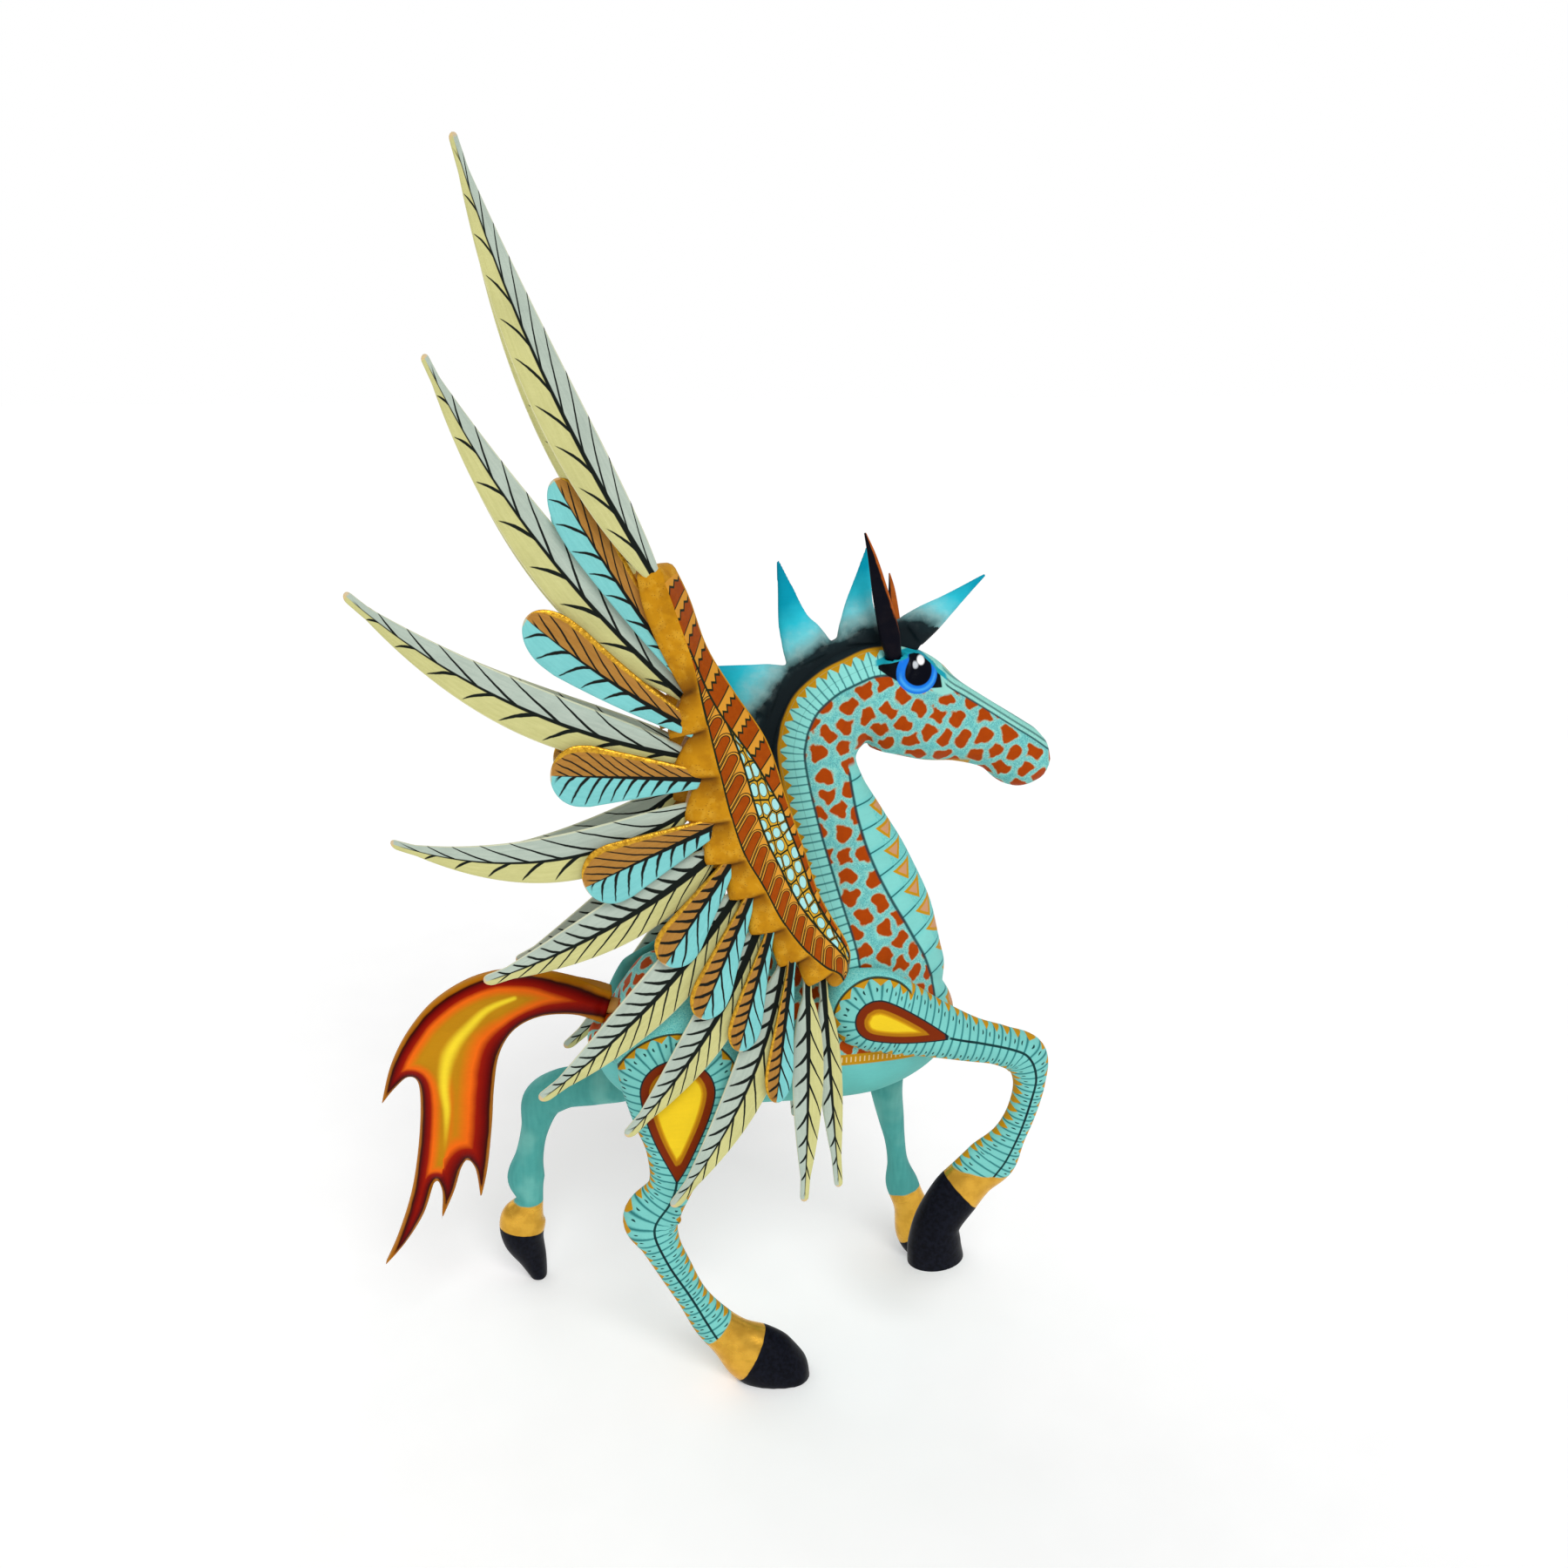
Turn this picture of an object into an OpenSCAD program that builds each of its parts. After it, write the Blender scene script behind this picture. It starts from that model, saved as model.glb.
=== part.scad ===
// A carved and painted wooden winged horse, prancing on three hooves.
// Millimetres, +Z up, the horse looks along +X, its right side is -Y.
// The origin is on the standing surface, under the middle of the whole figure.

/* [Figure] */
// Distance that the whole figure is moved along X, to bring its middle over the origin
shift_x = 25.9; // [20:0.1:35]
// Distance that the whole figure is moved along Y, to bring its middle over the origin
shift_y = -4.35; // [-5:0.05:5]
// Half of the distance between the two flat sides that the legs are glued on
flank = 19; // [18:0.5:20]
// Height of the flat joint between torso and neck
neck_joint_z = 168; // [166:1:170]
// Diameter of the glued dowels inside the figure
dowel_d = 6; // [5:0.5:7]

/* [Wings] */
// Height of the right wing's tenon above the standing surface
wing_z = 157; // [155:0.5:159]
// How much lower the left wing is set than the right one
wing_drop = 11; // [4:1:12]
// Distance from the figure's middle plane to the inner face of a wing
wing_y = 27.5; // [27:0.5:30]
// Lean of a wing towards the middle at its top
wing_lean = 3.5; // [2:0.5:4]
// Thickness of one feather
feather_t = 2.2; // [1.8:0.1:2.4]
// Upward tilt of the wing tenons
tenon_tilt = 15; // [10:1:20]

/* [Tail and ears] */
// Thickness of the tail
tail_t = 9; // [7:0.5:10]
// Diameter of the peg that the tail plugs in with
tail_peg_d = 6; // [5:0.5:6]
// Length of the right ear
ear_len = 44; // [36:1:46]
// Diameter of an ear's peg
ear_peg_d = 3; // [2.5:0.1:3.2]

/* [Hidden] */
$fn = 48;
fit = 0.05;          // gap round a glued or plugged peg
sides = 12;          // sides of a lofted ring
steps = 2;           // rings per stretch between two stations

LONG_NAMES = [for (side = ["right", "left"]) for (i = [1:10]) str("long_feather_", side, "_", i)];
SHORT_NAMES = [for (side = ["right", "left"]) for (i = [1:8]) str("short_feather_", side, "_", i)];

TURQUOISE = [0.45, 0.78, 0.74];
GOLD = [0.78, 0.57, 0.14];
BLACK = [0.06, 0.09, 0.12];
CREAM = [0.80, 0.80, 0.60];
TAN = [0.70, 0.50, 0.25];
FLAME = [0.75, 0.25, 0.08];
WOOD = [0.85, 0.74, 0.55];

// ---- Smooth curves and lofts ----

// A point between b and c on the smooth curve through a, b, c and d
function between(a, b, c, d, t) =
    0.5 * (2 * b + (c - a) * t + (2 * a - 5 * b + 4 * c - d) * t * t
           + (3 * b - 3 * c + d - a) * t * t * t);

// The stations of a list, with n rings for each stretch between two of them
function smooth(p, n) = let (last = len(p) - 1)
    [for (i = [0:last - 1]) for (k = [0:n - 1])
        between(p[max(i - 1, 0)], p[i], p[i + 1], p[min(i + 2, last)], k / n),
     p[last]];

// Direction of the curve at ring i, in the X-Z plane
function heading(p, i) = let (
        a = p[max(i - 1, 0)], b = p[min(i + 1, len(p) - 1)],
        v = [b[0] - a[0], 0, b[2] - a[2]])
    v / norm(v);

// Ring of a loft: a station is x, y, z, half depth across the path, half width along Y
function ring(s, t) = [for (k = [0:sides - 1]) let (q = 360 * k / sides)
    [s[0] - t[2] * s[3] * cos(q), s[1] + s[4] * sin(q), s[2] + t[0] * s[3] * cos(q)]];

// Closed solid through rings of the same number of points, wound the same way
module skin(rings) {
    m = len(rings[0]);
    n = len(rings);
    walls = [for (i = [0:n - 2]) for (k = [0:m - 1]) let (j = (k + 1) % m)
        each [[i * m + k, (i + 1) * m + j, (i + 1) * m + k],
              [i * m + k, i * m + j, (i + 1) * m + j]]];
    start_cap = [for (k = [m - 1:-1:0]) k];
    end_cap = [for (k = [0:m - 1]) (n - 1) * m + k];
    polyhedron([for (r = rings) each r], concat([start_cap], walls, [end_cap]));
}

module loft(stations) {
    p = smooth(stations, steps);
    skin([for (i = [0:len(p) - 1]) ring(p[i], heading(p, i))]);
}

// Everything below the standing surface, to cut a sole flat
module underground() translate([-200, -100, -40]) cube([400, 200, 40]);

// Everything between the two flat sides
module between_flanks() translate([-100, -flank, 0]) cube([200, 2 * flank, 300]);

// ---- Torso, neck and head ----

// Each line: x, y, z, half depth, half width
BARREL = [
    [-64, 0, 130, 4, 4], [-61, 0, 128, 14, 11], [-52, 0, 126, 25, 18], [-36, 0, 125, 29, 22],
    [-16, 0, 124, 28, 23], [6, 0, 127, 32, 23], [24, 0, 131, 35, 22], [39, 0, 135, 32, 20],
    [48, 0, 139, 23, 15], [52, 0, 142, 7, 6]];

NECK = [
    [19, 0, 130, 36, 16], [19.5, 0, 148, 37, 19], [21, 0, 165, 31, 17.5], [20, 0, 180, 24, 14],
    [16.5, 0, 194, 19, 12], [12, 0, 208, 15.5, 11], [9.5, 0, 220, 14.5, 10.5],
    [12.5, 0, 231, 15, 10], [20.5, 0, 239.5, 16, 10], [30, 0, 241.5, 17.5, 10.5],
    [40, 0, 238, 18, 11.5], [50, 0, 233, 15.4, 11.5], [61, 0, 229, 12.2, 9],
    [72, 0, 224, 10.4, 7.5], [79.5, 0, 218.6, 10.8, 7.5], [85.5, 0, 215.5, 8.6, 6.5],
    [89.5, 0, 213.5, 3.8, 3]];

// Centres of the leg dowels: x, side of the figure, z
LEG_DOWELS = [[28, -1, 137], [31, 1, 136], [-36, -1, 124], [-38, 1, 122]];

module leg_dowel(d, spare) {
    half = 9 + spare;
    for (p = LEG_DOWELS)
        translate([p[0], p[1] * flank, p[2]])
            rotate([90, 0, 0])
                cylinder(d = d, h = 2 * half - 4, center = true);
}

module neck_dowel_at(spare) {
    half = 14 + spare;
    translate([20, 0, neck_joint_z]) cylinder(d = dowel_d + 2 * spare, h = 2 * half, center = true);
}

module neck_half(above) {
    z = above ? neck_joint_z : 100;
    intersection() {
        loft(NECK);
        translate([-60, -50, z]) cube([200, 100, above ? 200 : neck_joint_z - 100]);
    }
}

// Flat sides under the legs, as long as the leg that is glued on
module leg_seats() {
    for (side = [-1, 1])
        for (seat = [[8, 52], [-66, -12]])
            translate([seat[0], side > 0 ? flank : -flank - 20, 80])
                cube([seat[1] - seat[0], 20, 75]);
}

module torso() {
    color(TURQUOISE)
        difference() {
            union() {
                loft(BARREL);
                neck_half(false);
            }
            leg_seats();
            leg_dowel(dowel_d + 2 * fit, 0.5);
            neck_dowel_at(0.5);
            wing_socket("right");
            wing_socket("left");
            tail_socket();
        }
}

module neck_head() {
    color(TURQUOISE)
        difference() {
            neck_half(true);
            neck_dowel_at(0.5);
            mane_plate(fit);
            ear_socket("right");
            ear_socket("left");
        }
}

// ---- Mane ----

mane_t = 4; // thickness of the mane
// Outer edge of the black band, from the neck's back to the forehead: x, z
BAND_OUTER = [[-13, 219], [-12, 229], [-7, 240], [2, 251], [13, 258], [27, 264], [40, 266], [48, 264]];
// Inner edge, which stands inside the groove of the neck
BAND_INNER = [[44, 256], [34, 255], [22, 251], [12, 244], [4, 236], [-1, 227], [-4, 218]];

// Locks: base, bend, tip, half depth at the base
LOCKS = [
    [[-3, 242], [-15, 246.5], [-34, 252], 10.5],
    [[9, 254], [3, 266.5], [-2, 286], 8.5],
    [[25, 259], [24.5, 271], [27, 290], 8],
    [[42, 262], [53, 270], [66, 280], 6]];

module mane_plate(spare) {
    outline = concat(smooth(BAND_OUTER, 2), smooth(BAND_INNER, 2));
    translate([0, mane_t / 2 + spare, 0])
        rotate([90, 0, 0])
            linear_extrude(mane_t + 2 * spare) polygon(outline);
}

function lock_path(l) = [
    [l[0][0], 0, l[0][1], l[3], mane_t / 2 + 1.2],
    [(l[0][0] + l[1][0]) / 2, 0, (l[0][1] + l[1][1]) / 2, l[3] * 0.85, mane_t / 2 + 1],
    [l[1][0], 0, l[1][1], l[3] * 0.6, mane_t / 2],
    [(l[1][0] + l[2][0]) / 2, 0, (l[1][1] + l[2][1]) / 2, l[3] * 0.32, mane_t / 2 - 0.7],
    [l[2][0], 0, l[2][1], 0.5, 0.5]];

module mane_crest() {
    color(BLACK)
        union() {
            mane_plate(0);
            for (l = LOCKS) loft(lock_path(l));
        }
}

// ---- Ears ----

// Each line: height, backward bend, half depth, half width, all as parts of the ear's length
EAR = [[0, 0, 0.05, 0.06], [0.2, 0, 0.075, 0.065], [0.5, 0.01, 0.062, 0.05],
       [0.8, 0.02, 0.034, 0.03], [1, 0.04, 0.008, 0.008]];

// Puts an ear's foot on the head: the left ear is shorter and turned outward
module on_head(side) {
    if (side == "right") translate([35, -7.2, 254]) rotate([8, -13, 0]) children();
    else translate([38, 6, 254]) rotate([-36, 6, 0]) scale(0.74) children();
}

module ear_socket(side) {
    on_head(side) {
        translate([0, 0, -7.5]) cylinder(d = ear_peg_d + 2 * fit, h = 8);
        translate([0, 0, -fit]) cylinder(d = 9, h = 9);
    }
}

module ear(side) {
    color(BLACK)
        on_head(side)
            union() {
                loft([for (e = EAR) [-e[1] * ear_len, 0, e[0] * ear_len, e[2] * ear_len, e[3] * ear_len]]);
                translate([0, 0, -7]) cylinder(d = ear_peg_d, h = 7.5);
            }
}

// ---- Legs ----

// Each line: x, y, z, half depth, half width. The right foreleg is raised and bent.
FORE_RIGHT = [
    [12, -20, 147, 3, 2], [16, -21, 144.5, 9.5, 5], [24, -22, 139.5, 14.5, 7],
    [35, -22.5, 134.5, 13.5, 7], [47, -23, 130, 10.5, 6.5], [60, -24.5, 125.8, 8, 6],
    [71, -25.5, 123, 7, 5.8], [79.5, -26, 118.5, 7.6, 5.8], [81.5, -26, 109, 5.6, 5.2],
    [79.5, -26, 98, 5, 4.8], [75.5, -26, 88.5, 5.8, 4.6], [70, -26, 80, 9, 5],
    [63, -26, 73.5, 8.6, 5.2], [57, -26, 66.5, 9, 6.5], [51, -26, 56.5, 8.2, 7.8],
    [50, -26, 48, 9.4, 8.4], [50.5, -26, 41.5, 10, 8.4]];

FORE_LEFT = [
    [25, 20, 146, 3, 2], [27, 21, 141, 10, 4.5], [31, 22, 131, 13.5, 6], [35, 23, 118, 13.5, 6.5],
    [38.5, 24.5, 104, 10.5, 6.2], [42, 26.5, 90, 7.5, 5.8], [43.5, 28, 78, 6, 5.2],
    [45.5, 29, 67, 5, 4.8], [47.5, 30, 56, 3.9, 4.2], [49, 31, 46, 4, 4.2],
    [51, 32.5, 36, 6.2, 5], [55, 33.5, 25, 6.6, 5.4], [59.5, 34.5, 13, 10, 7.2],
    [65, 35, 6, 10, 8.6], [72, 35, 1, 6, 7], [76, 35, -2, 2, 3]];

HIND_RIGHT = [
    [-36, -20, 151, 6, 2], [-36, -21, 143, 17, 4.5], [-36, -22, 130, 22.5, 7],
    [-35.5, -22.5, 115, 22.5, 7.8], [-37, -23.5, 100, 17.5, 7.6], [-39.5, -24.5, 88, 11, 7],
    [-43, -25.5, 77, 7.6, 6], [-49, -26, 67, 10, 6], [-46.5, -26.5, 57, 6.8, 5.4],
    [-41.5, -27, 46, 5.8, 5], [-36, -27.5, 35, 5.3, 5], [-30, -28, 25.5, 6.6, 5.8],
    [-23, -28, 17.5, 8, 6], [-16, -28, 11, 11, 7.6], [-8, -28, 5, 11, 9],
    [0, -28, 0.5, 7, 8], [4, -28, -2, 2, 4]];

HIND_LEFT = [
    [-38, 20, 149, 6, 2], [-38, 21, 141, 17, 4.5], [-39, 22, 128, 21.5, 7],
    [-43, 23, 113, 20, 7.8], [-49.5, 25, 100, 15.5, 7.6], [-57, 28.8, 91.5, 10.5, 7.3],
    [-67, 32.5, 87, 8, 6.5], [-78, 35, 85, 8, 6], [-86, 36.5, 79.5, 7.8, 5.6],
    [-89.5, 37.5, 68, 5.2, 5], [-92, 38, 57, 5.2, 4.8], [-94, 38.5, 46.5, 7, 5.4],
    [-93, 39, 36.5, 5, 5], [-96, 40, 28, 8.6, 6.6], [-96.5, 41, 19, 8, 7.2],
    [-93.5, 42, 9, 5.5, 5.8], [-91.5, 42.5, 1, 3.4, 4.4], [-91, 42.5, -3, 2, 3]];

module leg(stations) {
    color(TURQUOISE)
        difference() {
            loft(stations);
            between_flanks();
            underground();
            leg_dowel(dowel_d + 2 * fit, 0.5);
        }
}

module leg_dowels() { color(WOOD) leg_dowel(dowel_d, 0); }

module neck_dowel() { color(WOOD) neck_dowel_at(0); }

// ---- Tail ----

tail_root = [-61, 135];
tail_tilt = 18;
tail_root_half = 6;
ROOT_UP = tail_root + tail_root_half * [sin(tail_tilt), cos(tail_tilt)];
ROOT_LOW = tail_root - tail_root_half * [sin(tail_tilt), cos(tail_tilt)];
// Smooth stretches of the flame-like outline, each from one point or hollow to the next: x, z
TAIL = [
    [ROOT_UP, [-72, 146], [-88, 150], [-104, 148.5], [-118, 141], [-128, 130], [-135, 117], [-139, 103]],
    [[-139, 103], [-134, 109], [-129, 113], [-126, 109], [-127, 92], [-131, 70], [-137, 52], [-143, 39]],
    [[-143, 39], [-135, 48], [-128, 59], [-124, 70], [-122.5, 73]],
    [[-122.5, 73], [-121, 67], [-122, 56]],
    [[-122, 56], [-117, 67], [-114, 76], [-111.5, 80]],
    [[-111.5, 80], [-109, 75], [-108, 63]],
    [[-108, 63], [-105, 75], [-102.5, 92], [-101, 106], [-98.5, 119], [-93, 128], [-84, 132.5],
     [-73, 132.5], ROOT_LOW]];

// Joins smooth stretches, dropping the point that two of them share
function joined(stretches) = [for (s = stretches) let (p = smooth(s, 2))
    each [for (i = [0:len(p) - 2]) p[i]], stretches[len(stretches) - 1][len(TAIL[6]) - 1]];

module on_rump() translate([tail_root[0], 0, tail_root[1]]) rotate([0, -90 + tail_tilt, 0]) children();

module tail_socket() {
    on_rump() {
        translate([0, 0, -14.5]) cylinder(d = tail_peg_d + 2 * fit, h = 15);
        cylinder(d = 26, h = 12);
    }
}

module tail() {
    color(FLAME)
        union() {
            translate([0, tail_t / 2, 0])
                rotate([90, 0, 0])
                    linear_extrude(tail_t) polygon(joined(TAIL));
            on_rump() translate([0, 0, -14]) cylinder(d = tail_peg_d, h = 16);
        }
}

// ---- Wings ----
// A wing is described lying against the X-Z plane: x, z from its tenon, w outward from its inner face.

wing_x = -1;           // place of the wings' own origin along the body
tenon_at = [8, 4];     // place of the tenon in the wing's x and z
tenon = [9, 7];        // width and height of the tenon
tenon_l = 10;          // length of the tenon inside the torso
boss_d = 13;           // diameter of the round shoulder of the tenon
boss_out = 14.5;       // how far the shoulder stands out of the arm's inner face
long_w = 3.6;          // depth of the long feathers' inner face
short_w = 7.2;         // depth of the short feathers' inner face
top_w = 10.8;          // depth of the longest feather's inner face
stem_l = 6;            // length of a feather's stem inside the arm

// Each line: leading edge x, z; ridge x, z; rear edge x, z; ridge and rear edge depths
ARM = [
    [-35, 131, -40, 131, -47, 129, 13.5, 12], [-31, 122, -36, 119, -45, 117, 14, 11.5],
    [-26, 107, -31, 103, -41, 98, 13, 9], [-18, 93, -28, 89, -39, 83, 12, 7.5],
    [-8, 77, -24, 71, -38, 69, 12, 7.5], [-2, 58, -20, 54, -33.5, 51, 12, 7.5],
    [1, 49, -16, 42, -27.5, 38, 12, 7.5], [4, 40, -11, 33, -21.5, 28, 12, 7.5],
    [8, 27, -5, 21, -15, 16, 12, 7.5], [13, 17, 2, 11, -6.5, 5, 11.5, 7.5],
    [17, 10, 9, 4, 2, -2.5, 10.5, 7], [18.5, 5, 14, 0.5, 9, -5.5, 8.5, 6],
    [18, 0, 16, -3, 13, -6, 5, 4]];
edge_w = 3.5;          // thickness of the leading edge

// Each line: base x, z; tip x, z; half width; bulge as a part of the length
LONG = [
    [-40, 126, -93, 250.5, 6.9, 0.04], [-34, 92, -105, 193, 7.6, 0.055],
    [-31, 73, -132, 126, 7.8, 0.075], [-30, 58, -124, 50, 7.8, 0.125],
    [-24, 43, -98.6, 3.5, 7.8, 0.055], [-18, 29, -83.2, -38, 7.9, 0.05],
    [-12, 16, -56, -53, 7.2, 0.055], [-4, 3, -41.6, -79.8, 7.1, 0.07],
    [4, -6, 2.6, -81.6, 5.2, 0.01], [10, -8, 15, -79, 4, 0]];
SHORT = [
    [-31, 96, -70, 158, 6.8, 0.02], [-30, 82, -80, 118, 8.3, 0.03],
    [-29, 67, -75, 70, 9.6, 0], [-25, 52, -66, 34, 9.4, 0],
    [-21, 39, -42, 7, 7.2, 0], [-15, 27, -31, -12, 6.2, 0],
    [-9, 14, -19, -24, 5.2, 0], [-2, 2, -7, -43, 4.5, 0]];
// How far each feather of the left wing hangs lower than its twin, as an angle at its foot
LONG_HANG = [0, 0, 1.5, 9, 9, 6, 5, 3, 6, 3];
SHORT_HANG = [0, 1, 3, 7, 6, 4, 2, 0];

// Half width of a blade at t, from 0 at its foot to 1 at its tip
stem_half = 1.4;
function long_half(w, t) = max(stem_half * (1 - t), w * pow(sin(180 * pow(t, 0.72)), 0.85));
function short_half(w, t) = let (grow = min(1, 0.3 + 0.95 * t))
    t < 0.8 ? w * grow : w * sqrt(max(0, 1 - pow((t - 0.8) / 0.2, 2)));

function turned(v, q) = [v[0] * cos(q) - v[1] * sin(q), v[0] * sin(q) + v[1] * cos(q)];

// Outline of a feather f: x, z. long tells its kind, hang turns it down, and room widens it.
function feather_outline(f, long, hang, room) = let (
        n = long ? 12 : 10,
        foot = [f[0], f[1]], run = turned([f[2], f[3]] - foot, hang), l = norm(run),
        d = run / l, s = [-d[1], d[0]],
        mid = [for (i = [0:n]) let (t = i / n) foot + run * t + s * (f[5] * l * 4 * t * (1 - t))],
        half = [for (i = [0:n]) long ? long_half(f[4], i / n) : short_half(f[4], i / n)],
        base = foot - d * (stem_l + room))
    concat([base - s * (stem_half + room)],
           [for (i = [0:n - 1]) mid[i] - s * (max(half[i], stem_half) + room)],
           [mid[n] + d * room],
           [for (i = [n - 1:-1:0]) mid[i] + s * (max(half[i], stem_half) + room)],
           [base + s * (stem_half + room)]);

// A flat plate of the given outline, between depths w and w + t of the wing
module plate(outline, w, t)
    translate([0, -w, 0]) rotate([90, 0, 0]) linear_extrude(t) polygon(outline);

function long_depth(i) = i == 0 ? top_w : i == 9 ? long_w - 3.3 : long_w;

module long_feather(side, i, room) {
    hang = side == "left" ? LONG_HANG[i] : 0;
    plate(feather_outline(LONG[i], true, hang, room), long_depth(i) - room, feather_t + 2 * room);
}

module short_feather(side, i, room) {
    hang = side == "left" ? SHORT_HANG[i] : 0;
    plate(feather_outline(SHORT[i], false, hang, room), short_w - room, feather_t + 2 * room);
}

// Stands a wing against the figure. The left wing is the mirrored right one, set lower.
module on_flank(side) {
    right = side == "right";
    translate([wing_x, 0, right ? wing_z : wing_z - wing_drop])
        mirror([0, right ? 0 : 1, 0])
            translate([0, -wing_y, 0])
                rotate([-wing_lean, 0, 0])
                    children();
}

// The line of the tenon: the shoulder lies above z = 0 and the tenon below it
module tenon_line()
    translate([tenon_at[0], 0, tenon_at[1]])
        rotate([90 - tenon_tilt, 0, 0])
            translate([0, 0, -boss_out])
                children();

module wing_socket(side) {
    on_flank(side)
        tenon_line() {
            cylinder(d = boss_d + 1, h = 20);
            translate([0, 0, -tenon_l / 2])
                cube([tenon[0] + 4 * fit, tenon[1] + 4 * fit, tenon_l + 1], center = true);
        }
}

module arm_loft() {
    skin([for (a = ARM) [
        [a[2], 0, a[3]], [a[4], 0, a[5]], [a[4], -a[7], a[5]],
        [a[2], -a[6], a[3]], [a[0], -edge_w, a[1]], [a[0], 0, a[1]]]]);
}

module wing_arm(side) {
    color(GOLD)
        on_flank(side)
            difference() {
                union() {
                    arm_loft();
                    tenon_line() {
                        cylinder(d = boss_d, h = boss_out + 4);
                        translate([0, 0, 0.5 - tenon_l / 2])
                            cube([tenon[0], tenon[1], tenon_l - 1], center = true);
                    }
                }
                for (i = [0:9]) long_feather(side, i, fit);
                for (i = [0:7]) short_feather(side, i, fit);
            }
}

module long_feather_at(side, i) { color(CREAM) on_flank(side) long_feather(side, i, 0); }

module short_feather_at(side, i) { color(TAN) on_flank(side) short_feather(side, i, 0); }

// ---- The assembly ----

module placed() translate([shift_x, shift_y, 0]) children();

placed() torso();
placed() neck_head();
placed() mane_crest();
placed() leg(FORE_RIGHT);  // leg_fore_right
placed() leg(FORE_LEFT);  // leg_fore_left
placed() leg(HIND_RIGHT);  // leg_hind_right
placed() leg(HIND_LEFT);  // leg_hind_left
placed() leg_dowels();
placed() neck_dowel();
placed() ear("right");  // ear_right
placed() ear("left");  // ear_left
placed() tail();
placed() wing_arm("right");  // wing_arm_right
placed() wing_arm("left");  // wing_arm_left
for (side = ["right", "left"]) {
    for (i = [0:9])
        placed() long_feather_at(side, i);
    for (i = [0:7])
        placed() short_feather_at(side, i);
}
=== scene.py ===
"""A carved and painted wooden winged horse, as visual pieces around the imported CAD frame."""
import math

import bpy
import numpy as np
from mathutils import Matrix, Vector
from mathutils.kdtree import KDTree

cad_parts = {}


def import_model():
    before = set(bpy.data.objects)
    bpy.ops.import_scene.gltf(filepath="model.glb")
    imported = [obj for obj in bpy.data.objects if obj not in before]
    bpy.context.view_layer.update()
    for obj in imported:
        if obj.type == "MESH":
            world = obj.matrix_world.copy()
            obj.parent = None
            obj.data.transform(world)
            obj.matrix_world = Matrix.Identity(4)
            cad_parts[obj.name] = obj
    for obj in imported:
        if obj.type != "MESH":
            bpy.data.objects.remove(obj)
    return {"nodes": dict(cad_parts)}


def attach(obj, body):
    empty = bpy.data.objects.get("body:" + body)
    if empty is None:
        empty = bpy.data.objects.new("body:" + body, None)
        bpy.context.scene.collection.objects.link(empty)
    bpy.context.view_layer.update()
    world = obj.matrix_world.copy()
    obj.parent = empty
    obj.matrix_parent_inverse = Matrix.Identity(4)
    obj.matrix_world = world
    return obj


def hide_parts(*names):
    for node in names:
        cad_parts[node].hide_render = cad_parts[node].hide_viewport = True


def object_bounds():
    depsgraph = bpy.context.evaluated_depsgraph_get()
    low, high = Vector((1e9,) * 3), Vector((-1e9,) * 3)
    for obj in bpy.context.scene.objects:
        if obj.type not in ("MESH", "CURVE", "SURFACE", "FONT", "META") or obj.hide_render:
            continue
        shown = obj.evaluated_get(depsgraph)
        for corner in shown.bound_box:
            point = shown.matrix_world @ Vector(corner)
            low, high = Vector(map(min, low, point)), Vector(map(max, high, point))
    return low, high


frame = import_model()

CAD_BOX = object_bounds()

# The figure is described in millimetres in its own place, and then moved by SHIFT.
SHIFT = np.array([25.9, -4.35, 0.0])
FLANK = 19.0      # the legs are flat against the body, this far from its middle
MM = 1000.0       # in a metre
SIDES = ("right", "left")


def world(points):
    """Figure millimetres to metres in the shared frame."""
    return (np.asarray(points, float) + SHIFT) / MM


def new_object(name, data):
    obj = bpy.data.objects.new(name, data)
    bpy.context.collection.objects.link(obj)
    return obj


# ---- Camera and light ----

def look_at(obj, target):
    obj.rotation_euler = (Vector(target) - obj.location).to_track_quat("-Z", "Y").to_euler()


def add_camera():
    azimuth, elevation, distance = math.radians(-8.0), math.radians(17.5), 0.5
    target = Vector(world([0, 0, 211.5]))
    data = bpy.data.cameras.new("camera")
    data.lens, data.sensor_width, data.clip_start = 34.5, 36.0, 0.01
    camera = new_object("camera", data)
    camera.location = target + distance * Vector((
        math.sin(azimuth) * math.cos(elevation), -math.cos(azimuth) * math.cos(elevation),
        math.sin(elevation)))
    look_at(camera, target)
    bpy.context.scene.camera = camera


def add_sun(name, place, strength, spread):
    data = bpy.data.lights.new(name, "SUN")
    data.energy, data.angle = strength, math.radians(spread)
    light = new_object(name, data)
    light.location = place
    look_at(light, (0.0, 0.0, 0.2))


def add_studio():
    add_camera()
    add_sun("key", (0.15, -0.9, 1.1), 1.45, 30.0)
    add_sun("back", (-0.5, 0.8, 0.9), 0.55, 60.0)
    sky = bpy.data.worlds.new("studio")
    sky.use_nodes = True
    nodes, links = sky.node_tree.nodes, sky.node_tree.links
    background = nodes["Background"]
    background.inputs["Color"].default_value = (1.0, 1.0, 1.0, 1.0)
    # the backdrop is white, and lights the object more softly than it looks
    path, strength = nodes.new("ShaderNodeLightPath"), nodes.new("ShaderNodeMapRange")
    links.new(path.outputs["Is Camera Ray"], strength.inputs["Value"])
    strength.inputs["To Min"].default_value = 0.52
    links.new(strength.outputs["Result"], background.inputs["Strength"])
    bpy.context.scene.world = sky
    bpy.context.scene.view_settings.view_transform = "Standard"


# ---- Shader helper ----

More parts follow.
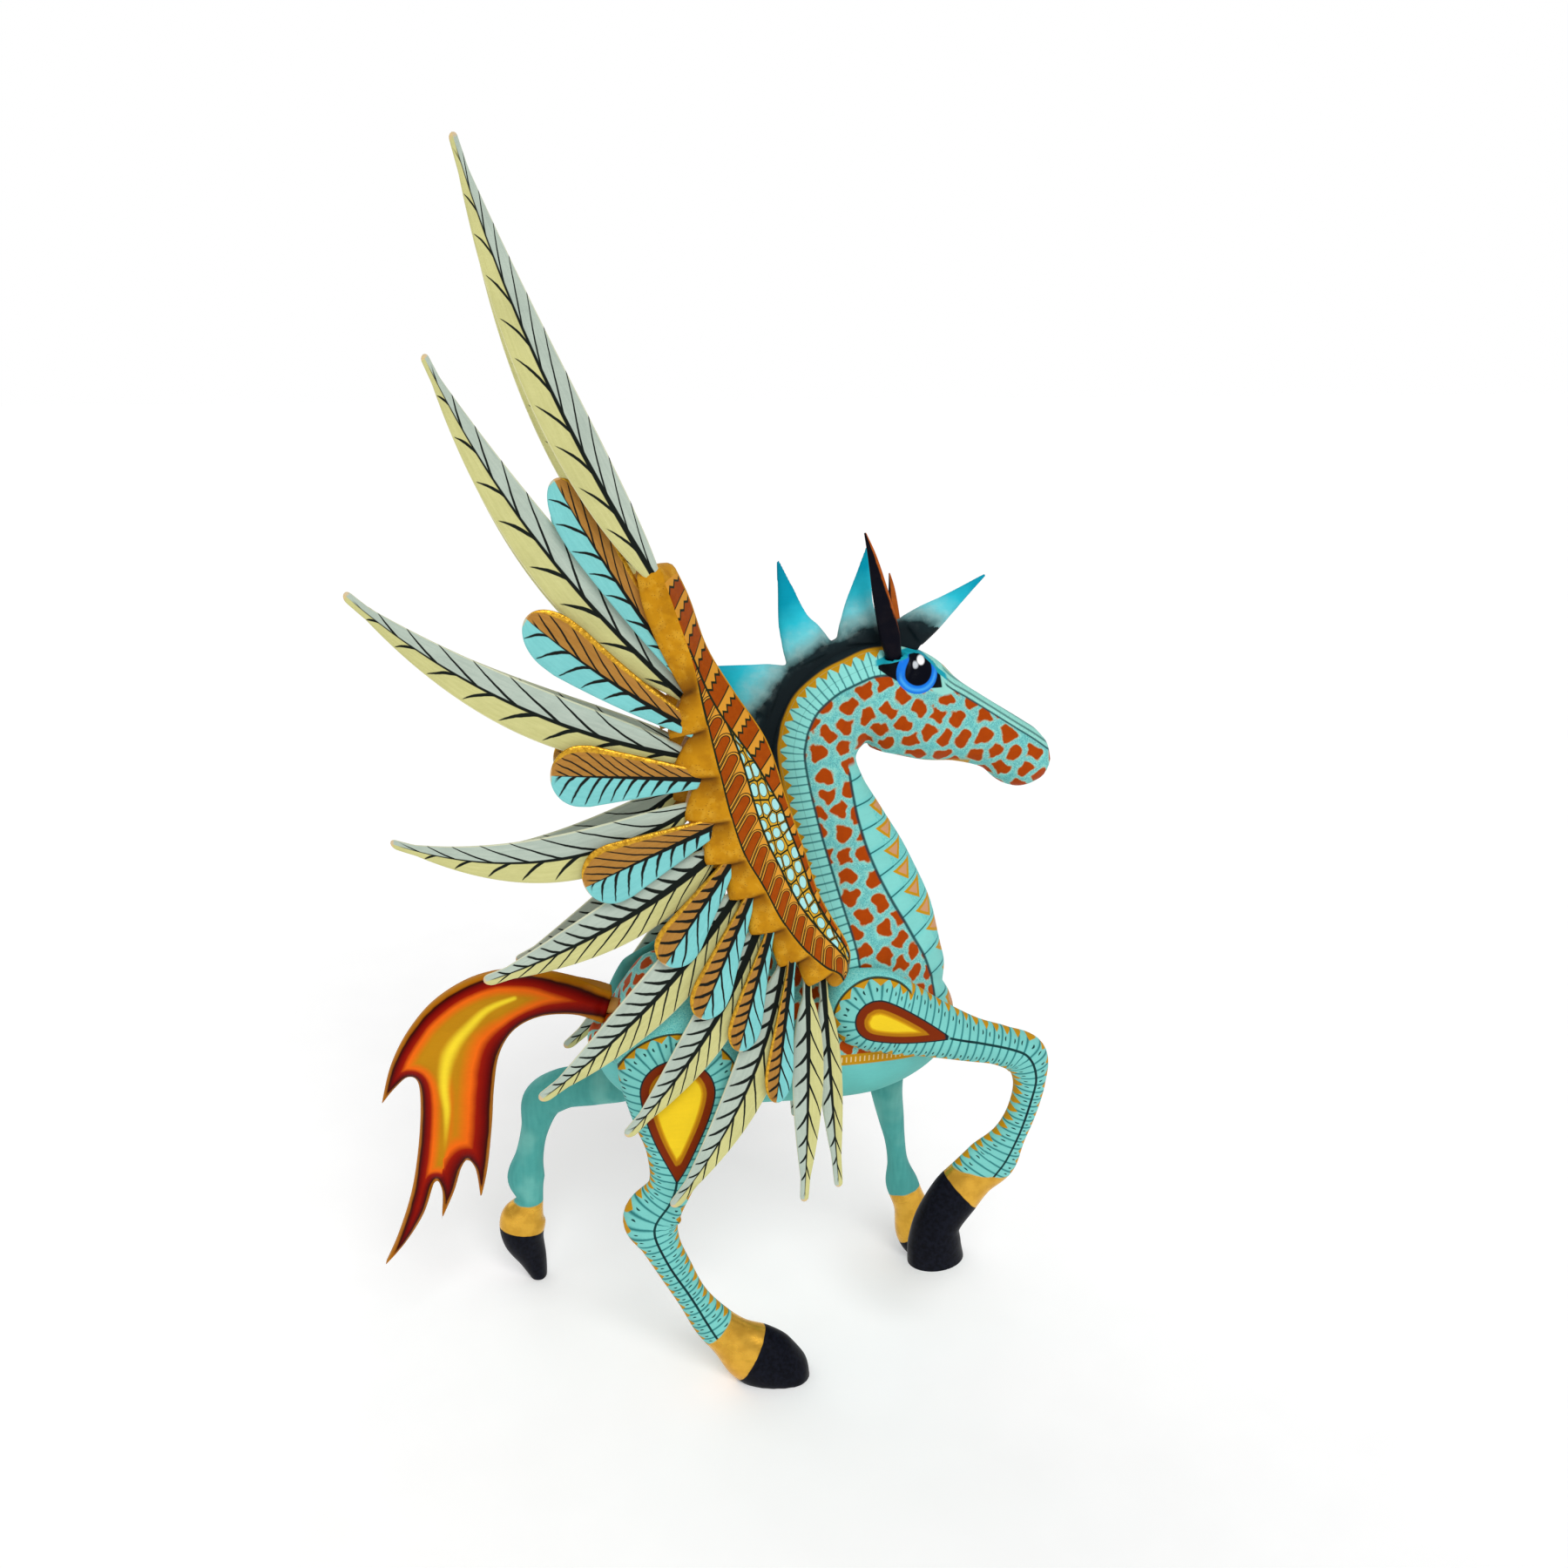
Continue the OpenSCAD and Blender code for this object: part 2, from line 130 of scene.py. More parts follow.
def rgb(*values):
    """sRGB from 0 to 255 to a linear colour."""
    shares = [value / 255.0 for value in values]
    return (*(c / 12.92 if c <= 0.04045 else ((c + 0.055) / 1.055) ** 2.4 for c in shares), 1.0)


def operator(operation, swapped=False):
    def apply(term, other):
        return term.paint.math(operation, *((other, term) if swapped else (term, other)))
    return apply


class Term:
    """One socket of a shader tree, with arithmetic."""

    def __init__(self, paint, socket):
        self.paint, self.socket = paint, socket

    __add__, __radd__ = operator("ADD"), operator("ADD", True)
    __sub__, __rsub__ = operator("SUBTRACT"), operator("SUBTRACT", True)
    __mul__, __rmul__ = operator("MULTIPLY"), operator("MULTIPLY", True)
    __truediv__ = operator("DIVIDE")

    def __abs__(self):
        return self.paint.math("ABSOLUTE", self)


class Paint:
    """A material built from expressions. Its colour is put on in coats."""

    def __init__(self, name, rough=0.5, specular=0.06):
        self.material = bpy.data.materials.new(name)
        self.material.use_nodes = True
        tree = self.material.node_tree
        self.nodes, self.links = tree.nodes, tree.links
        self.shader = self.nodes["Principled BSDF"]
        self.shader.inputs["Specular IOR Level"].default_value = specular
        self.rough = rough
        self.known = {}
        self.colour = None

    def feed(self, socket, value):
        if isinstance(value, Term):
            self.links.new(value.socket, socket)
        else:
            socket.default_value = value

    def node(self, kind, inputs, output=0, **settings):
        """An output of a new node, once its settings and inputs are in."""
        node = self.nodes.new("ShaderNode" + kind)
        for name, value in settings.items():
            setattr(node, name, value)
        for key, value in inputs.items():
            self.feed(node.inputs[key], value)
        return Term(self, node.outputs[output])

    def math(self, operation, *values):
        return self.node("Math", dict(enumerate(values)), operation=operation)

    def low(self, a, b): return self.math("MINIMUM", a, b)
    def high(self, a, b): return self.math("MAXIMUM", a, b)
    def fract(self, a): return self.math("FRACT", a)
    def power(self, a, b): return self.math("POWER", a, b)
    def radius(self, x, y): return self.math("SQRT", x * x + y * y)

    def tri(self, a):
        """0 to 1 and back, once for every unit of a."""
        return self.math("PINGPONG", a, 0.5) * 2.0

    def gap(self, along, pitch):
        """Signed distance from the nearest of the marks that lie pitch apart."""
        return (self.fract(along / pitch) - 0.5) * pitch

    def once(self, name, kind, output, **settings):
        if name not in self.known:
            self.known[name] = self.node(kind, {}, output, **settings)
        return self.known[name]

    def read(self, names):
        """The mesh attributes of these names."""
        found = [self.once(name, "Attribute", "Fac", attribute_name=name) for name in names.split()]
        return found if len(found) > 1 else found[0]

    def place(self):
        return self.once("place", "TexCoord", "Object")

    def spread(self, x, y, z=0.0):
        return self.node("CombineXYZ", {0: x, 1: y, 2: z})

    def stretched(self, scale):
        return self.node("Mapping", {"Vector": self.place(), "Scale": scale})

    def noise(self, scale, detail=2.0, vector=None, rough=0.5):
        return self.node("TexNoise", {"Vector": vector or self.place(), "Scale": scale, "Detail": detail,
                                      "Roughness": rough})

    def voronoi(self, vector, randomness, feature):
        return self.node("TexVoronoi", {"Vector": vector, "Scale": 1.0, "Randomness": randomness}, "Distance",
                         voronoi_dimensions="2D", feature=feature)

    def above(self, value, edge, soft):
        """0 below the edge and 1 above it, blending over twice soft."""
        return self.node("MapRange", {"Value": value, "From Min": edge - soft, "From Max": edge + soft},
                         "Result", interpolation_type="SMOOTHSTEP")

    def below(self, value, edge, soft):
        return 1.0 - self.above(value, edge, soft)

    def line(self, distance, half, soft=0.12):
        return self.below(abs(distance), half, soft)

    def over(self, base, layer, mask):
        return self.node("Mix", {0: mask, 6: base, 7: layer}, 2, data_type="RGBA")

    def layered(self, base, *layers):
        for layer, mask in layers:
            base = self.over(base, layer, mask)
        return base

    def coat(self, layer, mask):
        self.colour = self.over(self.colour, layer, mask)

    def mixed(self, one, other, scale, detail, share):
        """Two colours, the second in clouds over the first."""
        return self.over(one, other, self.noise(scale, detail) * share)

    def patches(self, one, other, scale, detail, edge, soft, share):
        """Two colours, the second in patches with edges."""
        return self.over(one, other, self.above(self.noise(scale, detail), edge, soft) * share)

    def ramp(self, value, stops):
        node = self.nodes.new("ShaderNodeValToRGB")
        self.feed(node.inputs[0], value)
        elements = node.color_ramp.elements
        while len(elements) < len(stops):
            elements.new(0.5)
        for element, (position, colour) in zip(elements, stops):
            element.position, element.color = position, colour
        return Term(self, node.outputs[0])

    def finish(self, height=0.0, shine=0.0, metal=0.0, relief=0.00012):
        """Brush strokes, mottling and fine grain of hand painted wood, over the colour."""
        mottle = self.noise(90.0, 3.0)
        brush = self.noise(1.0, 3.0, self.stretched((260.0, 260.0, 1400.0)), 0.6)
        grain = self.noise(1900.0, 2.0)
        shade = 0.80 + 0.24 * mottle + 0.10 * brush + 0.06 * grain
        surface = 0.5 * brush + 0.25 * grain + 0.6 * mottle + height
        sockets = {
            "Base Color": self.node("HueSaturation", {"Color": self.colour, "Value": shade}),
            "Roughness": self.rough - 0.1 + 0.2 * mottle - shine, "Metallic": metal,
            "Normal": self.node("Bump", {"Strength": 0.8, "Distance": relief, "Height": surface})}
        for name, value in sockets.items():
            self.feed(self.shader.inputs[name], value)
        return self.material


TURQUOISE = rgb(114, 204, 200)
TURQUOISE_SHADED = rgb(88, 180, 170)
TURQUOISE_PALE = rgb(150, 218, 205)
RUST = rgb(178, 70, 0)
GOLD = rgb(196, 142, 18)
WING_GOLD = rgb(208, 148, 22)
APRICOT = rgb(214, 148, 48)
OUTLINE = rgb(30, 38, 22)
RIB_LINE = rgb(24, 98, 100)
METAL_GOLD = rgb(224, 172, 64)
HOOF = rgb(8, 9, 16)
BARE = rgb(226, 190, 140)


# ---- Curves, fields and meshes ----

def spline(points, count):
    """The same smooth curve as the CAD draws, with count steps for each stretch."""
    p = np.asarray(points, float)
    last = len(p) - 1
    out = []
    for i in range(last):
        a, b, c, d = p[max(i - 1, 0)], p[i], p[i + 1], p[min(i + 2, last)]
        for k in range(count):
            t = k / count
            out.append(0.5 * (2 * b + (c - a) * t + (2 * a - 5 * b + 4 * c - d) * t * t
                              + (3 * b - 3 * c + d - a) * t ** 3))
    out.append(p[last])
    return np.array(out)


def near_path(points, path):
    """Signed distance from an open path in the plane, and the length along it."""
    p = np.asarray(points, float)
    a, b = path[:-1], path[1:]
    run = b - a
    length = np.linalg.norm(run, axis=1)
    start = np.concatenate([[0.0], np.cumsum(length)[:-1]])
    best = np.full(len(p), 1e9)
    signed = np.zeros(len(p))
    along = np.zeros(len(p))
    for i in range(len(a)):
        off = p - a[i]
        t = np.clip(off @ run[i] / length[i] ** 2, 0, 1)
        gap = off - t[:, None] * run[i]
        dist = np.hypot(gap[:, 0], gap[:, 1])
        side = np.sign(run[i, 0] * off[:, 1] - run[i, 1] * off[:, 0])
        hit = dist < best
        best[hit] = dist[hit]
        signed[hit] = (side * dist)[hit]
        along[hit] = (start[i] + t * length[i])[hit]
    return signed, along


def tube_faces(rings, sides):
    """Faces of a closed tube of rings, each of the same number of points."""
    faces = []
    for i in range(rings - 1):
        here, there = i * sides, (i + 1) * sides
        for k in range(sides):
            after = (k + 1) % sides
            faces.append((here + k, there + k, there + after, here + after))
    return faces + [tuple(range(sides)), tuple((rings - 1) * sides + k for k in reversed(range(sides)))]


def make_mesh(name, points, faces, attributes=None):
    mesh = bpy.data.meshes.new(name)
    mesh.from_pydata(world(points).tolist(), [], faces)
    add_attributes(mesh, attributes or {})
    fix_normals(mesh)
    return mesh


def add_attributes(mesh, attributes):
    for key, values in attributes.items():
        layer = mesh.attributes.new(key, "FLOAT", "POINT")
        layer.data.foreach_set("value", np.asarray(values, np.float32))


def add_piece(name, mesh, material, body, slot, *nodes):
    mesh.update()
    fix_normals(mesh)
    mesh.polygons.foreach_set("use_smooth", [True] * len(mesh.polygons))
    mesh.materials.clear()
    mesh.materials.append(material)
    obj = new_object(name, mesh)
    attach(obj, body)
    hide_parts(*nodes)


def fix_normals(mesh):
    """Turns the whole mesh right side out when its volume comes out negative."""
    mesh.calc_loop_triangles()
    tri = np.zeros(len(mesh.loop_triangles) * 3, np.int32)
    mesh.loop_triangles.foreach_get("vertices", tri)
    a, b, c = np.moveaxis(vertex_array(mesh)[tri.reshape(-1, 3)], 1, 0)
    if np.einsum("ij,ij->i", a, np.cross(b, c)).sum() < 0:
        mesh.flip_normals()


def vertex_array(mesh):
    co = np.zeros(len(mesh.vertices) * 3)
    mesh.vertices.foreach_get("co", co)
    return co.reshape(-1, 3)


def figure_mm(mesh):
    return vertex_array(mesh) * MM - SHIFT


def store_mm(mesh, points):
    mesh.vertices.foreach_set("co", world(points).ravel())


def normal_array(mesh):
    out = np.zeros(len(mesh.vertices) * 3, np.float32)
    mesh.vertex_normals.foreach_get("vector", out)
    return out.reshape(-1, 3)


def loft(stations, count, sides):
    """Points and ring angles of a loft through stations, and how many rings it has."""
    p = spline(stations, count)
    path = p[:, [0, 2]]
    points, angles = [], []
    for i, s in enumerate(p):
        run = path[min(i + 1, len(p) - 1)] - path[max(i - 1, 0)]
        run = run / max(np.linalg.norm(run), 1e-9)
        for k in range(sides):
            q = 2 * math.pi * k / sides
            points.append([s[0] - run[1] * s[3] * math.cos(q), s[1] + s[4] * math.sin(q),
                           s[2] + run[0] * s[3] * math.cos(q)])
            angles.append(q)
    return np.array(points), np.array(angles), len(p)


def loft_mesh(stations, count, sides):
    points, _, rings = loft(stations, count, sides)
    return make_mesh("loft", points, tube_faces(rings, sides))


def box_mesh(low, high, matrix):
    points = [[x, y, z] for x in (low[0], high[0]) for y in (low[1], high[1]) for z in (low[2], high[2])]
    faces = [(0, 1, 3, 2), (4, 6, 7, 5), (0, 4, 5, 1), (2, 3, 7, 6), (0, 2, 6, 4), (1, 5, 7, 3)]
    return make_mesh("cut", moved(points, matrix), faces)


def turned(profile, sides, matrix):
    """Points and faces of a turned shape: profile lines are height, radius."""
    points = [[r * math.cos(2 * math.pi * k / sides), r * math.sin(2 * math.pi * k / sides), h]
              for h, r in profile for k in range(sides)]
    return moved(points, matrix), tube_faces(len(profile), sides)


def turned_mesh(profile, sides, matrix):
    return make_mesh("cut", *turned(profile, sides, matrix))


def moved(points, matrix):
    m = np.array(matrix)
    return np.asarray(points, float) @ m[:3, :3].T + m[:3, 3]


def slab(outline, half):
    """Closed plate across Y from an outline in x, z."""
    count = len(outline)
    points = [[x, y, z] for y in (-half, half) for x, z in outline]
    faces = [(i, (i + 1) % count, count + (i + 1) % count, count + i) for i in range(count)]
    return points, faces + [tuple(reversed(range(count))), tuple(range(count, 2 * count))]


def modified(mesh, modifiers, helpers=()):
    """The mesh after its modifiers, each a kind and settings. The helpers go."""
    obj = new_object("temp", mesh)
    for kind, settings in modifiers:
        modifier = obj.modifiers.new(kind, kind)
        for key, value in settings.items():
            setattr(modifier, key, value)
    bpy.context.view_layer.update()
    graph = bpy.context.evaluated_depsgraph_get()
    result = bpy.data.meshes.new_from_object(obj.evaluated_get(graph))
    for item in (obj, *helpers):
        bpy.data.objects.remove(item, do_unlink=True)
    return result


def combine(base, others, operation):
    """Boolean of a mesh with others, one after the other."""
    helpers = [new_object("temp", mesh) for mesh in others]
    return modified(base, [("BOOLEAN", {"operation": operation, "solver": "EXACT", "object": helper})
                           for helper in helpers], helpers)


def voxels(size_mm):
    return "REMESH", {"mode": "VOXEL", "voxel_size": size_mm / MM}


SMOOTH = "SMOOTH", {"factor": 0.5, "iterations": 3}


def joined(*parts):
    """One list of points and one of faces from several (points, faces)."""
    points, faces, start = [], [], 0
    for part_points, part_faces in parts:
        points.append(np.asarray(part_points, float))
        faces += [tuple(i + start for i in face) for face in part_faces]
        start += len(part_points)
    return np.concatenate(points), faces


def padded(total, columns):
    """Attributes of the first points carried on to all of them: name to (values, filler)."""
    return {name: np.concatenate([values, np.full(total - len(values), fill)])
            for name, (values, fill) in columns.items()}


# ---- Places shared with the CAD ----

def on_head(side):
    if side == "right":
        place, turns, size = (35, -7.2, 254), (8, -13), 1.0
    else:
        place, turns, size = (38, 6, 254), (-36, 6), 0.74
    # OpenSCAD turns about X first and then about Y
    turn = Matrix.Rotation(math.radians(turns[1]), 4, "Y") @ Matrix.Rotation(math.radians(turns[0]), 4, "X")
    return Matrix.Translation(place) @ turn @ Matrix.Scale(size, 4)


def on_rump():
    return Matrix.Translation((-61, 0, 135)) @ Matrix.Rotation(math.radians(-72), 4, "Y")


WING_X, WING_Z, WING_DROP, WING_Y, WING_LEAN = -1.0, 157.0, 11.0, 27.5, 3.5
FEATHER_T, TENON_TILT, BOSS_R, BOSS_OUT = 2.2, 15.0, 6.5, 14.5


def on_flank(side):
    right = side == "right"
    mirror = Matrix.Identity(4) if right else Matrix.Scale(-1, 4, (0, 1, 0))
    return (Matrix.Translation((WING_X, 0, WING_Z if right else WING_Z - WING_DROP)) @ mirror
            @ Matrix.Translation((0, -WING_Y, 0)) @ Matrix.Rotation(math.radians(-WING_LEAN), 4, "X"))


def tenon_line():
    return (Matrix.Translation((8, 0, 4)) @ Matrix.Rotation(math.radians(90 - TENON_TILT), 4, "X")
            @ Matrix.Translation((0, 0, -BOSS_OUT)))


# ---- Stations ----
# Each line: x, y, z, half depth, half width

BARREL = [
    [-64, 0, 130, 4, 4], [-61, 0, 128, 14, 11], [-52, 0, 126, 25, 18], [-36, 0, 125, 29, 22],
    [-16, 0, 124, 28, 23], [6, 0, 127, 32, 23], [24, 0, 131, 35, 22], [39, 0, 135, 32, 20],
    [48, 0, 139, 23, 15], [52, 0, 142, 7, 6]]
NECK = [
    [19, 0, 130, 36, 16], [19.5, 0, 148, 37, 19], [21, 0, 165, 31, 17.5], [20, 0, 180, 24, 14],
    [16.5, 0, 194, 19, 12], [12, 0, 208, 15.5, 11], [9.5, 0, 220, 14.5, 10.5],
    [12.5, 0, 231, 15, 10], [20.5, 0, 239.5, 16, 10], [30, 0, 241.5, 17.5, 10.5],
    [40, 0, 238, 18, 11.5], [50, 0, 233, 15.4, 11.5], [61, 0, 229, 12.2, 9],
    [72, 0, 224, 10.4, 7.5], [79.5, 0, 218.6, 10.8, 7.5], [85.5, 0, 215.5, 8.6, 6.5],
    [89.5, 0, 213.5, 3.8, 3]]
LEGS = {
    "leg_fore_right": [
        [12, -20, 147, 3, 2], [16, -21, 144.5, 9.5, 5], [24, -22, 139.5, 14.5, 7],
        [35, -22.5, 134.5, 13.5, 7], [47, -23, 130, 10.5, 6.5], [60, -24.5, 125.8, 8, 6],
        [71, -25.5, 123, 7, 5.8], [79.5, -26, 118.5, 7.6, 5.8], [81.5, -26, 109, 5.6, 5.2],
        [79.5, -26, 98, 5, 4.8], [75.5, -26, 88.5, 5.8, 4.6], [70, -26, 80, 9, 5],
        [63, -26, 73.5, 8.6, 5.2], [57, -26, 66.5, 9, 6.5], [51, -26, 56.5, 8.2, 7.8],
        [50, -26, 48, 9.4, 8.4], [50.5, -26, 41.5, 10, 8.4]],
    "leg_fore_left": [
        [25, 20, 146, 3, 2], [27, 21, 141, 10, 4.5], [31, 22, 131, 13.5, 6], [35, 23, 118, 13.5, 6.5],
        [38.5, 24.5, 104, 10.5, 6.2], [42, 26.5, 90, 7.5, 5.8], [43.5, 28, 78, 6, 5.2],
        [45.5, 29, 67, 5, 4.8], [47.5, 30, 56, 3.9, 4.2], [49, 31, 46, 4, 4.2],
        [51, 32.5, 36, 6.2, 5], [55, 33.5, 25, 6.6, 5.4], [59.5, 34.5, 13, 10, 7.2],
        [65, 35, 6, 10, 8.6], [72, 35, 1, 6, 7], [76, 35, -2, 2, 3]],
    "leg_hind_right": [
        [-36, -20, 151, 6, 2], [-36, -21, 143, 17, 4.5], [-36, -22, 130, 22.5, 7],
        [-35.5, -22.5, 115, 22.5, 7.8], [-37, -23.5, 100, 17.5, 7.6], [-39.5, -24.5, 88, 11, 7],
        [-43, -25.5, 77, 7.6, 6], [-49, -26, 67, 10, 6], [-46.5, -26.5, 57, 6.8, 5.4],
        [-41.5, -27, 46, 5.8, 5], [-36, -27.5, 35, 5.3, 5], [-30, -28, 25.5, 6.6, 5.8],
        [-23, -28, 17.5, 8, 6], [-16, -28, 11, 11, 7.6], [-8, -28, 5, 11, 9],
        [0, -28, 0.5, 7, 8], [4, -28, -2, 2, 4]],
    "leg_hind_left": [
        [-38, 20, 149, 6, 2], [-38, 21, 141, 17, 4.5], [-39, 22, 128, 21.5, 7],
        [-43, 23, 113, 20, 7.8], [-49.5, 25, 100, 15.5, 7.6], [-57, 28.8, 91.5, 10.5, 7.3],
        [-67, 32.5, 87, 8, 6.5], [-78, 35, 85, 8, 6], [-86, 36.5, 79.5, 7.8, 5.6],
        [-89.5, 37.5, 68, 5.2, 5], [-92, 38, 57, 5.2, 4.8], [-94, 38.5, 46.5, 7, 5.4],
        [-93, 39, 36.5, 5, 5], [-96, 40, 28, 8.6, 6.6], [-96.5, 41, 19, 8, 7.2],
        [-93.5, 42, 9, 5.5, 5.8], [-91.5, 42.5, 1, 3.4, 4.4], [-91, 42.5, -3, 2, 3]]}

# Painted lines of the body: x, z
MANE_LINE = [[52, 249], [44, 254.5], [36, 256.8], [27, 256.6], [19, 253.6], [11.5, 249.6], [4, 242.6],
             [0, 235], [-1.4, 229.4], [-2, 223.6], [-0.5, 213.2], [3.8, 194.9], [10.4, 171.3],
             [15, 155.1], [17, 140]]
CHEST_LINE = [[20.5, 218], [21.7, 209.8], [23.3, 201.5], [26.1, 191.9], [29.8, 182.7], [34.5, 173.4],
              [38.9, 165.8], [42.7, 158.9], [46.2, 152.6], [48.5, 146.6], [50.2, 139.9], [49, 125], [40, 110]]
NOSE_LINE = [[46.6, 251.5], [52.7, 245.2], [59.5, 240.8], [68.5, 235.0], [76.5, 229.8], [84, 225],
             [92, 219]]
EYE = (42.3, 250.9)


# ---- Body ----

def tree_of(points):
    tree = KDTree(len(points))
    for i, point in enumerate(points):
        tree.insert(point, i)
    tree.balance()
    return tree


def scattered(points, spacing, rng):
    """Some of the points, in random order, none nearer to another than spacing."""
    tree = tree_of(points)
    taken = np.zeros(len(points), bool)
    kept = []
    for i in rng.permutation(len(points)):
        if not taken[i]:
            kept.append(points[i])
            for _, k, _ in tree.find_range(points[i], spacing):
                taken[k] = True
    return np.array(kept)


def spot_cells(points, spacing):
    """Distance to the middle of the cell that each point is in, and to that cell's edge."""
    seeds = scattered(points, spacing, np.random.default_rng(11))
    tree = tree_of(seeds)
    x, y, z = points.T
    swayed = points + 0.55 * np.stack([np.sin(1.1 * z + y), np.sin(0.9 * x + 2), np.sin(1.2 * x - y)], axis=1)
    core, edge = [], []
    for point in swayed:
        (a, _, near), (b, _, next_near) = tree.find_n(point, 2)
        core.append(near)
        edge.append((next_near ** 2 - near ** 2) / (2 * (a - b).length))
    return np.array(core), np.array(edge)


SPOT_SPACING = 6.0
EYE_R, NOSTRIL, NOSTRIL_SIZE = 7.2, (83.5, 218.5), (1.6, 1.1)
SOCKET = [(0, 7.2), (20, 7.2)]
MOUND = [(-7, 3.0), (-3.5, 4.2), (0, 4.2), (1.4, 3.8), (2.2, 3.3)]
EAR_HOLE, EAR_SEAT = [(-7.5, 1.65), (0.5, 1.65)], [(-1.2, 2.75), (6, 3.4)]
TAIL_HOLE, TAIL_SEAT = [(-14.5, 3.15), (1, 3.15)], [(0, 9), (12, 13)]


def build_body():
    mounds = [turned_mesh(MOUND, 40, on_head(side)) for side in SIDES]
    whole = combine(loft_mesh(BARREL, 8, 48), [loft_mesh(NECK, 6, 48), *mounds], "UNION")
    cuts = []
    for side in SIDES:
        line, ear = on_flank(side) @ tenon_line(), on_head(side)
        cuts += [turned_mesh(SOCKET, 40, line), box_mesh((-4.7, -3.7, -10), (4.7, 3.7, 1), line),
                 turned_mesh(EAR_HOLE, 20, ear), turned_mesh(EAR_SEAT, 32, ear)]
    cuts += [turned_mesh(TAIL_HOLE, 32, on_rump()), turned_mesh(TAIL_SEAT, 40, on_rump())]
    mesh = modified(combine(whole, cuts, "DIFFERENCE"), [voxels(0.8), SMOOTH])
    points = figure_mm(mesh)
    # The eye stands out a little, with a shallow groove around it, and the nostril is carved in
    xz = points[:, [0, 2]]
    from_eye = np.linalg.norm(xz - EYE, axis=1)
    lift = 0.9 * np.sqrt(np.clip(1 - (from_eye / EYE_R) ** 2, 0, 1))
    lift -= 0.35 * np.exp(-((from_eye - 8.0) / 1.3) ** 2)
    depth = np.abs(points[:, 1])
    lift[depth <= 4.0] = 0
    nostril = np.hypot(*((xz - NOSTRIL) / NOSTRIL_SIZE).T)
    lift -= 0.7 * np.exp(-nostril ** 2) * (depth > 2.5)
    points = points + normal_array(mesh) * lift[:, None]
    store_mm(mesh, points)
    attributes = {"far": xz[:, 0], "high": xz[:, 1]}
    for name, painted in (("mane", MANE_LINE), ("chest", CHEST_LINE), ("nose", NOSE_LINE)):
        attributes[name + "_d"], attributes[name + "_s"] = near_path(xz, spline(painted, 4))
    attributes["core"], attributes["edge"] = spot_cells(points, SPOT_SPACING)
    add_attributes(mesh, attributes)
    add_piece("body_skin", mesh, body_paint(), "figure", "body_paint", "torso", "neck_head")


def speckled(p, base, amount):
    """Fine pale and dark stipple, as from a sponge or small brush."""
    dots = p.noise(2600.0, 1.0)
    base = p.over(base, TURQUOISE_PALE, p.above(dots, 0.60, 0.05) * amount)
    return p.over(base, rgb(60, 150, 150), p.below(dots, 0.40, 0.05) * amount * 0.6)


def ribs(p, along, pitch, base=TURQUOISE):
    """Colour of a turquoise band with dark cross ticks, each rib paler in its middle as a painted highlight."""
    rib_highlight = p.tri(along / pitch + 0.5)
    # painted highlight: each rib is paler in its middle, as if it were rounded
    colour = p.over(base, TURQUOISE_PALE, p.above(rib_highlight, 0.25, 0.3) * 0.35)
    return p.over(colour, RIB_LINE, p.line(p.gap(along, pitch), 0.26, 0.24) * 0.85)


CHEST_PITCH, NECK_PITCH, LEG_PITCH = 8.4, 2.9, 2.8


def spots(p):
    """Rust spots with a brown rim on stippled turquoise."""
    core, edge = p.read("core edge")
    spot = p.low(edge - 1.15, 3.1 - core) + (p.noise(420.0, 2.0) - 0.5) * 1.5
    ground = p.over(TURQUOISE, TURQUOISE_PALE, p.above(spot, -1.0, 0.6) * 0.75)
    p.colour = speckled(p, ground, 0.8)
    seams = p.below(edge, 0.9, 0.9) * p.above(p.noise(2400.0, 1.0), 0.46, 0.08)
    p.coat(rgb(78, 140, 150), seams * 0.45)
    p.coat(rgb(182, 140, 96), p.above(spot, -0.28, 0.16) * 0.7)
    p.coat(p.mixed(RUST, rgb(146, 50, 0), 500.0, 2.0, 0.6), p.above(spot, 0.0, 0.16))


def chest_band(p):
    """Ribs, then gold triangles on turquoise, in front of the chest line."""
    depth, along, high, far = p.read("chest_d chest_s high far")
    step = p.fract(along / CHEST_PITCH + 0.4)
    slope = (1.0 - (step - 0.08) * 1.35) * 3.7 - abs(depth - 8.6)
    triangle = p.above(slope, 0.0, 0.12) * p.above(step, 0.08, 0.015)
    inner = p.above(slope, 1.0, 0.15) * p.above(step, 0.20, 0.02)
    seam = p.line(p.gap(along, CHEST_PITCH), 0.2) * p.above(depth, 0.3, 0.1) * p.below(triangle, 0.5, 0.1)
    chest = p.over(ribs(p, along, CHEST_PITCH), speckled(p, TURQUOISE, 0.5), p.above(depth, 6.0, 0.15))
    chest = p.layered(chest, (GOLD, triangle), (rgb(206, 152, 118), inner * 0.85), (RIB_LINE, seam * 0.8),
                      (GOLD, p.above(depth, 13.2, 0.3)))
    p.coat(chest, p.above(depth, 0.2, 0.1) * p.below(far, 62.0, 0.5) * p.below(high, 219.0, 1.0))
    p.coat(rgb(12, 58, 66), p.line(depth, 0.5, 0.3) * p.below(high, 217.0, 1.0) * 0.9)


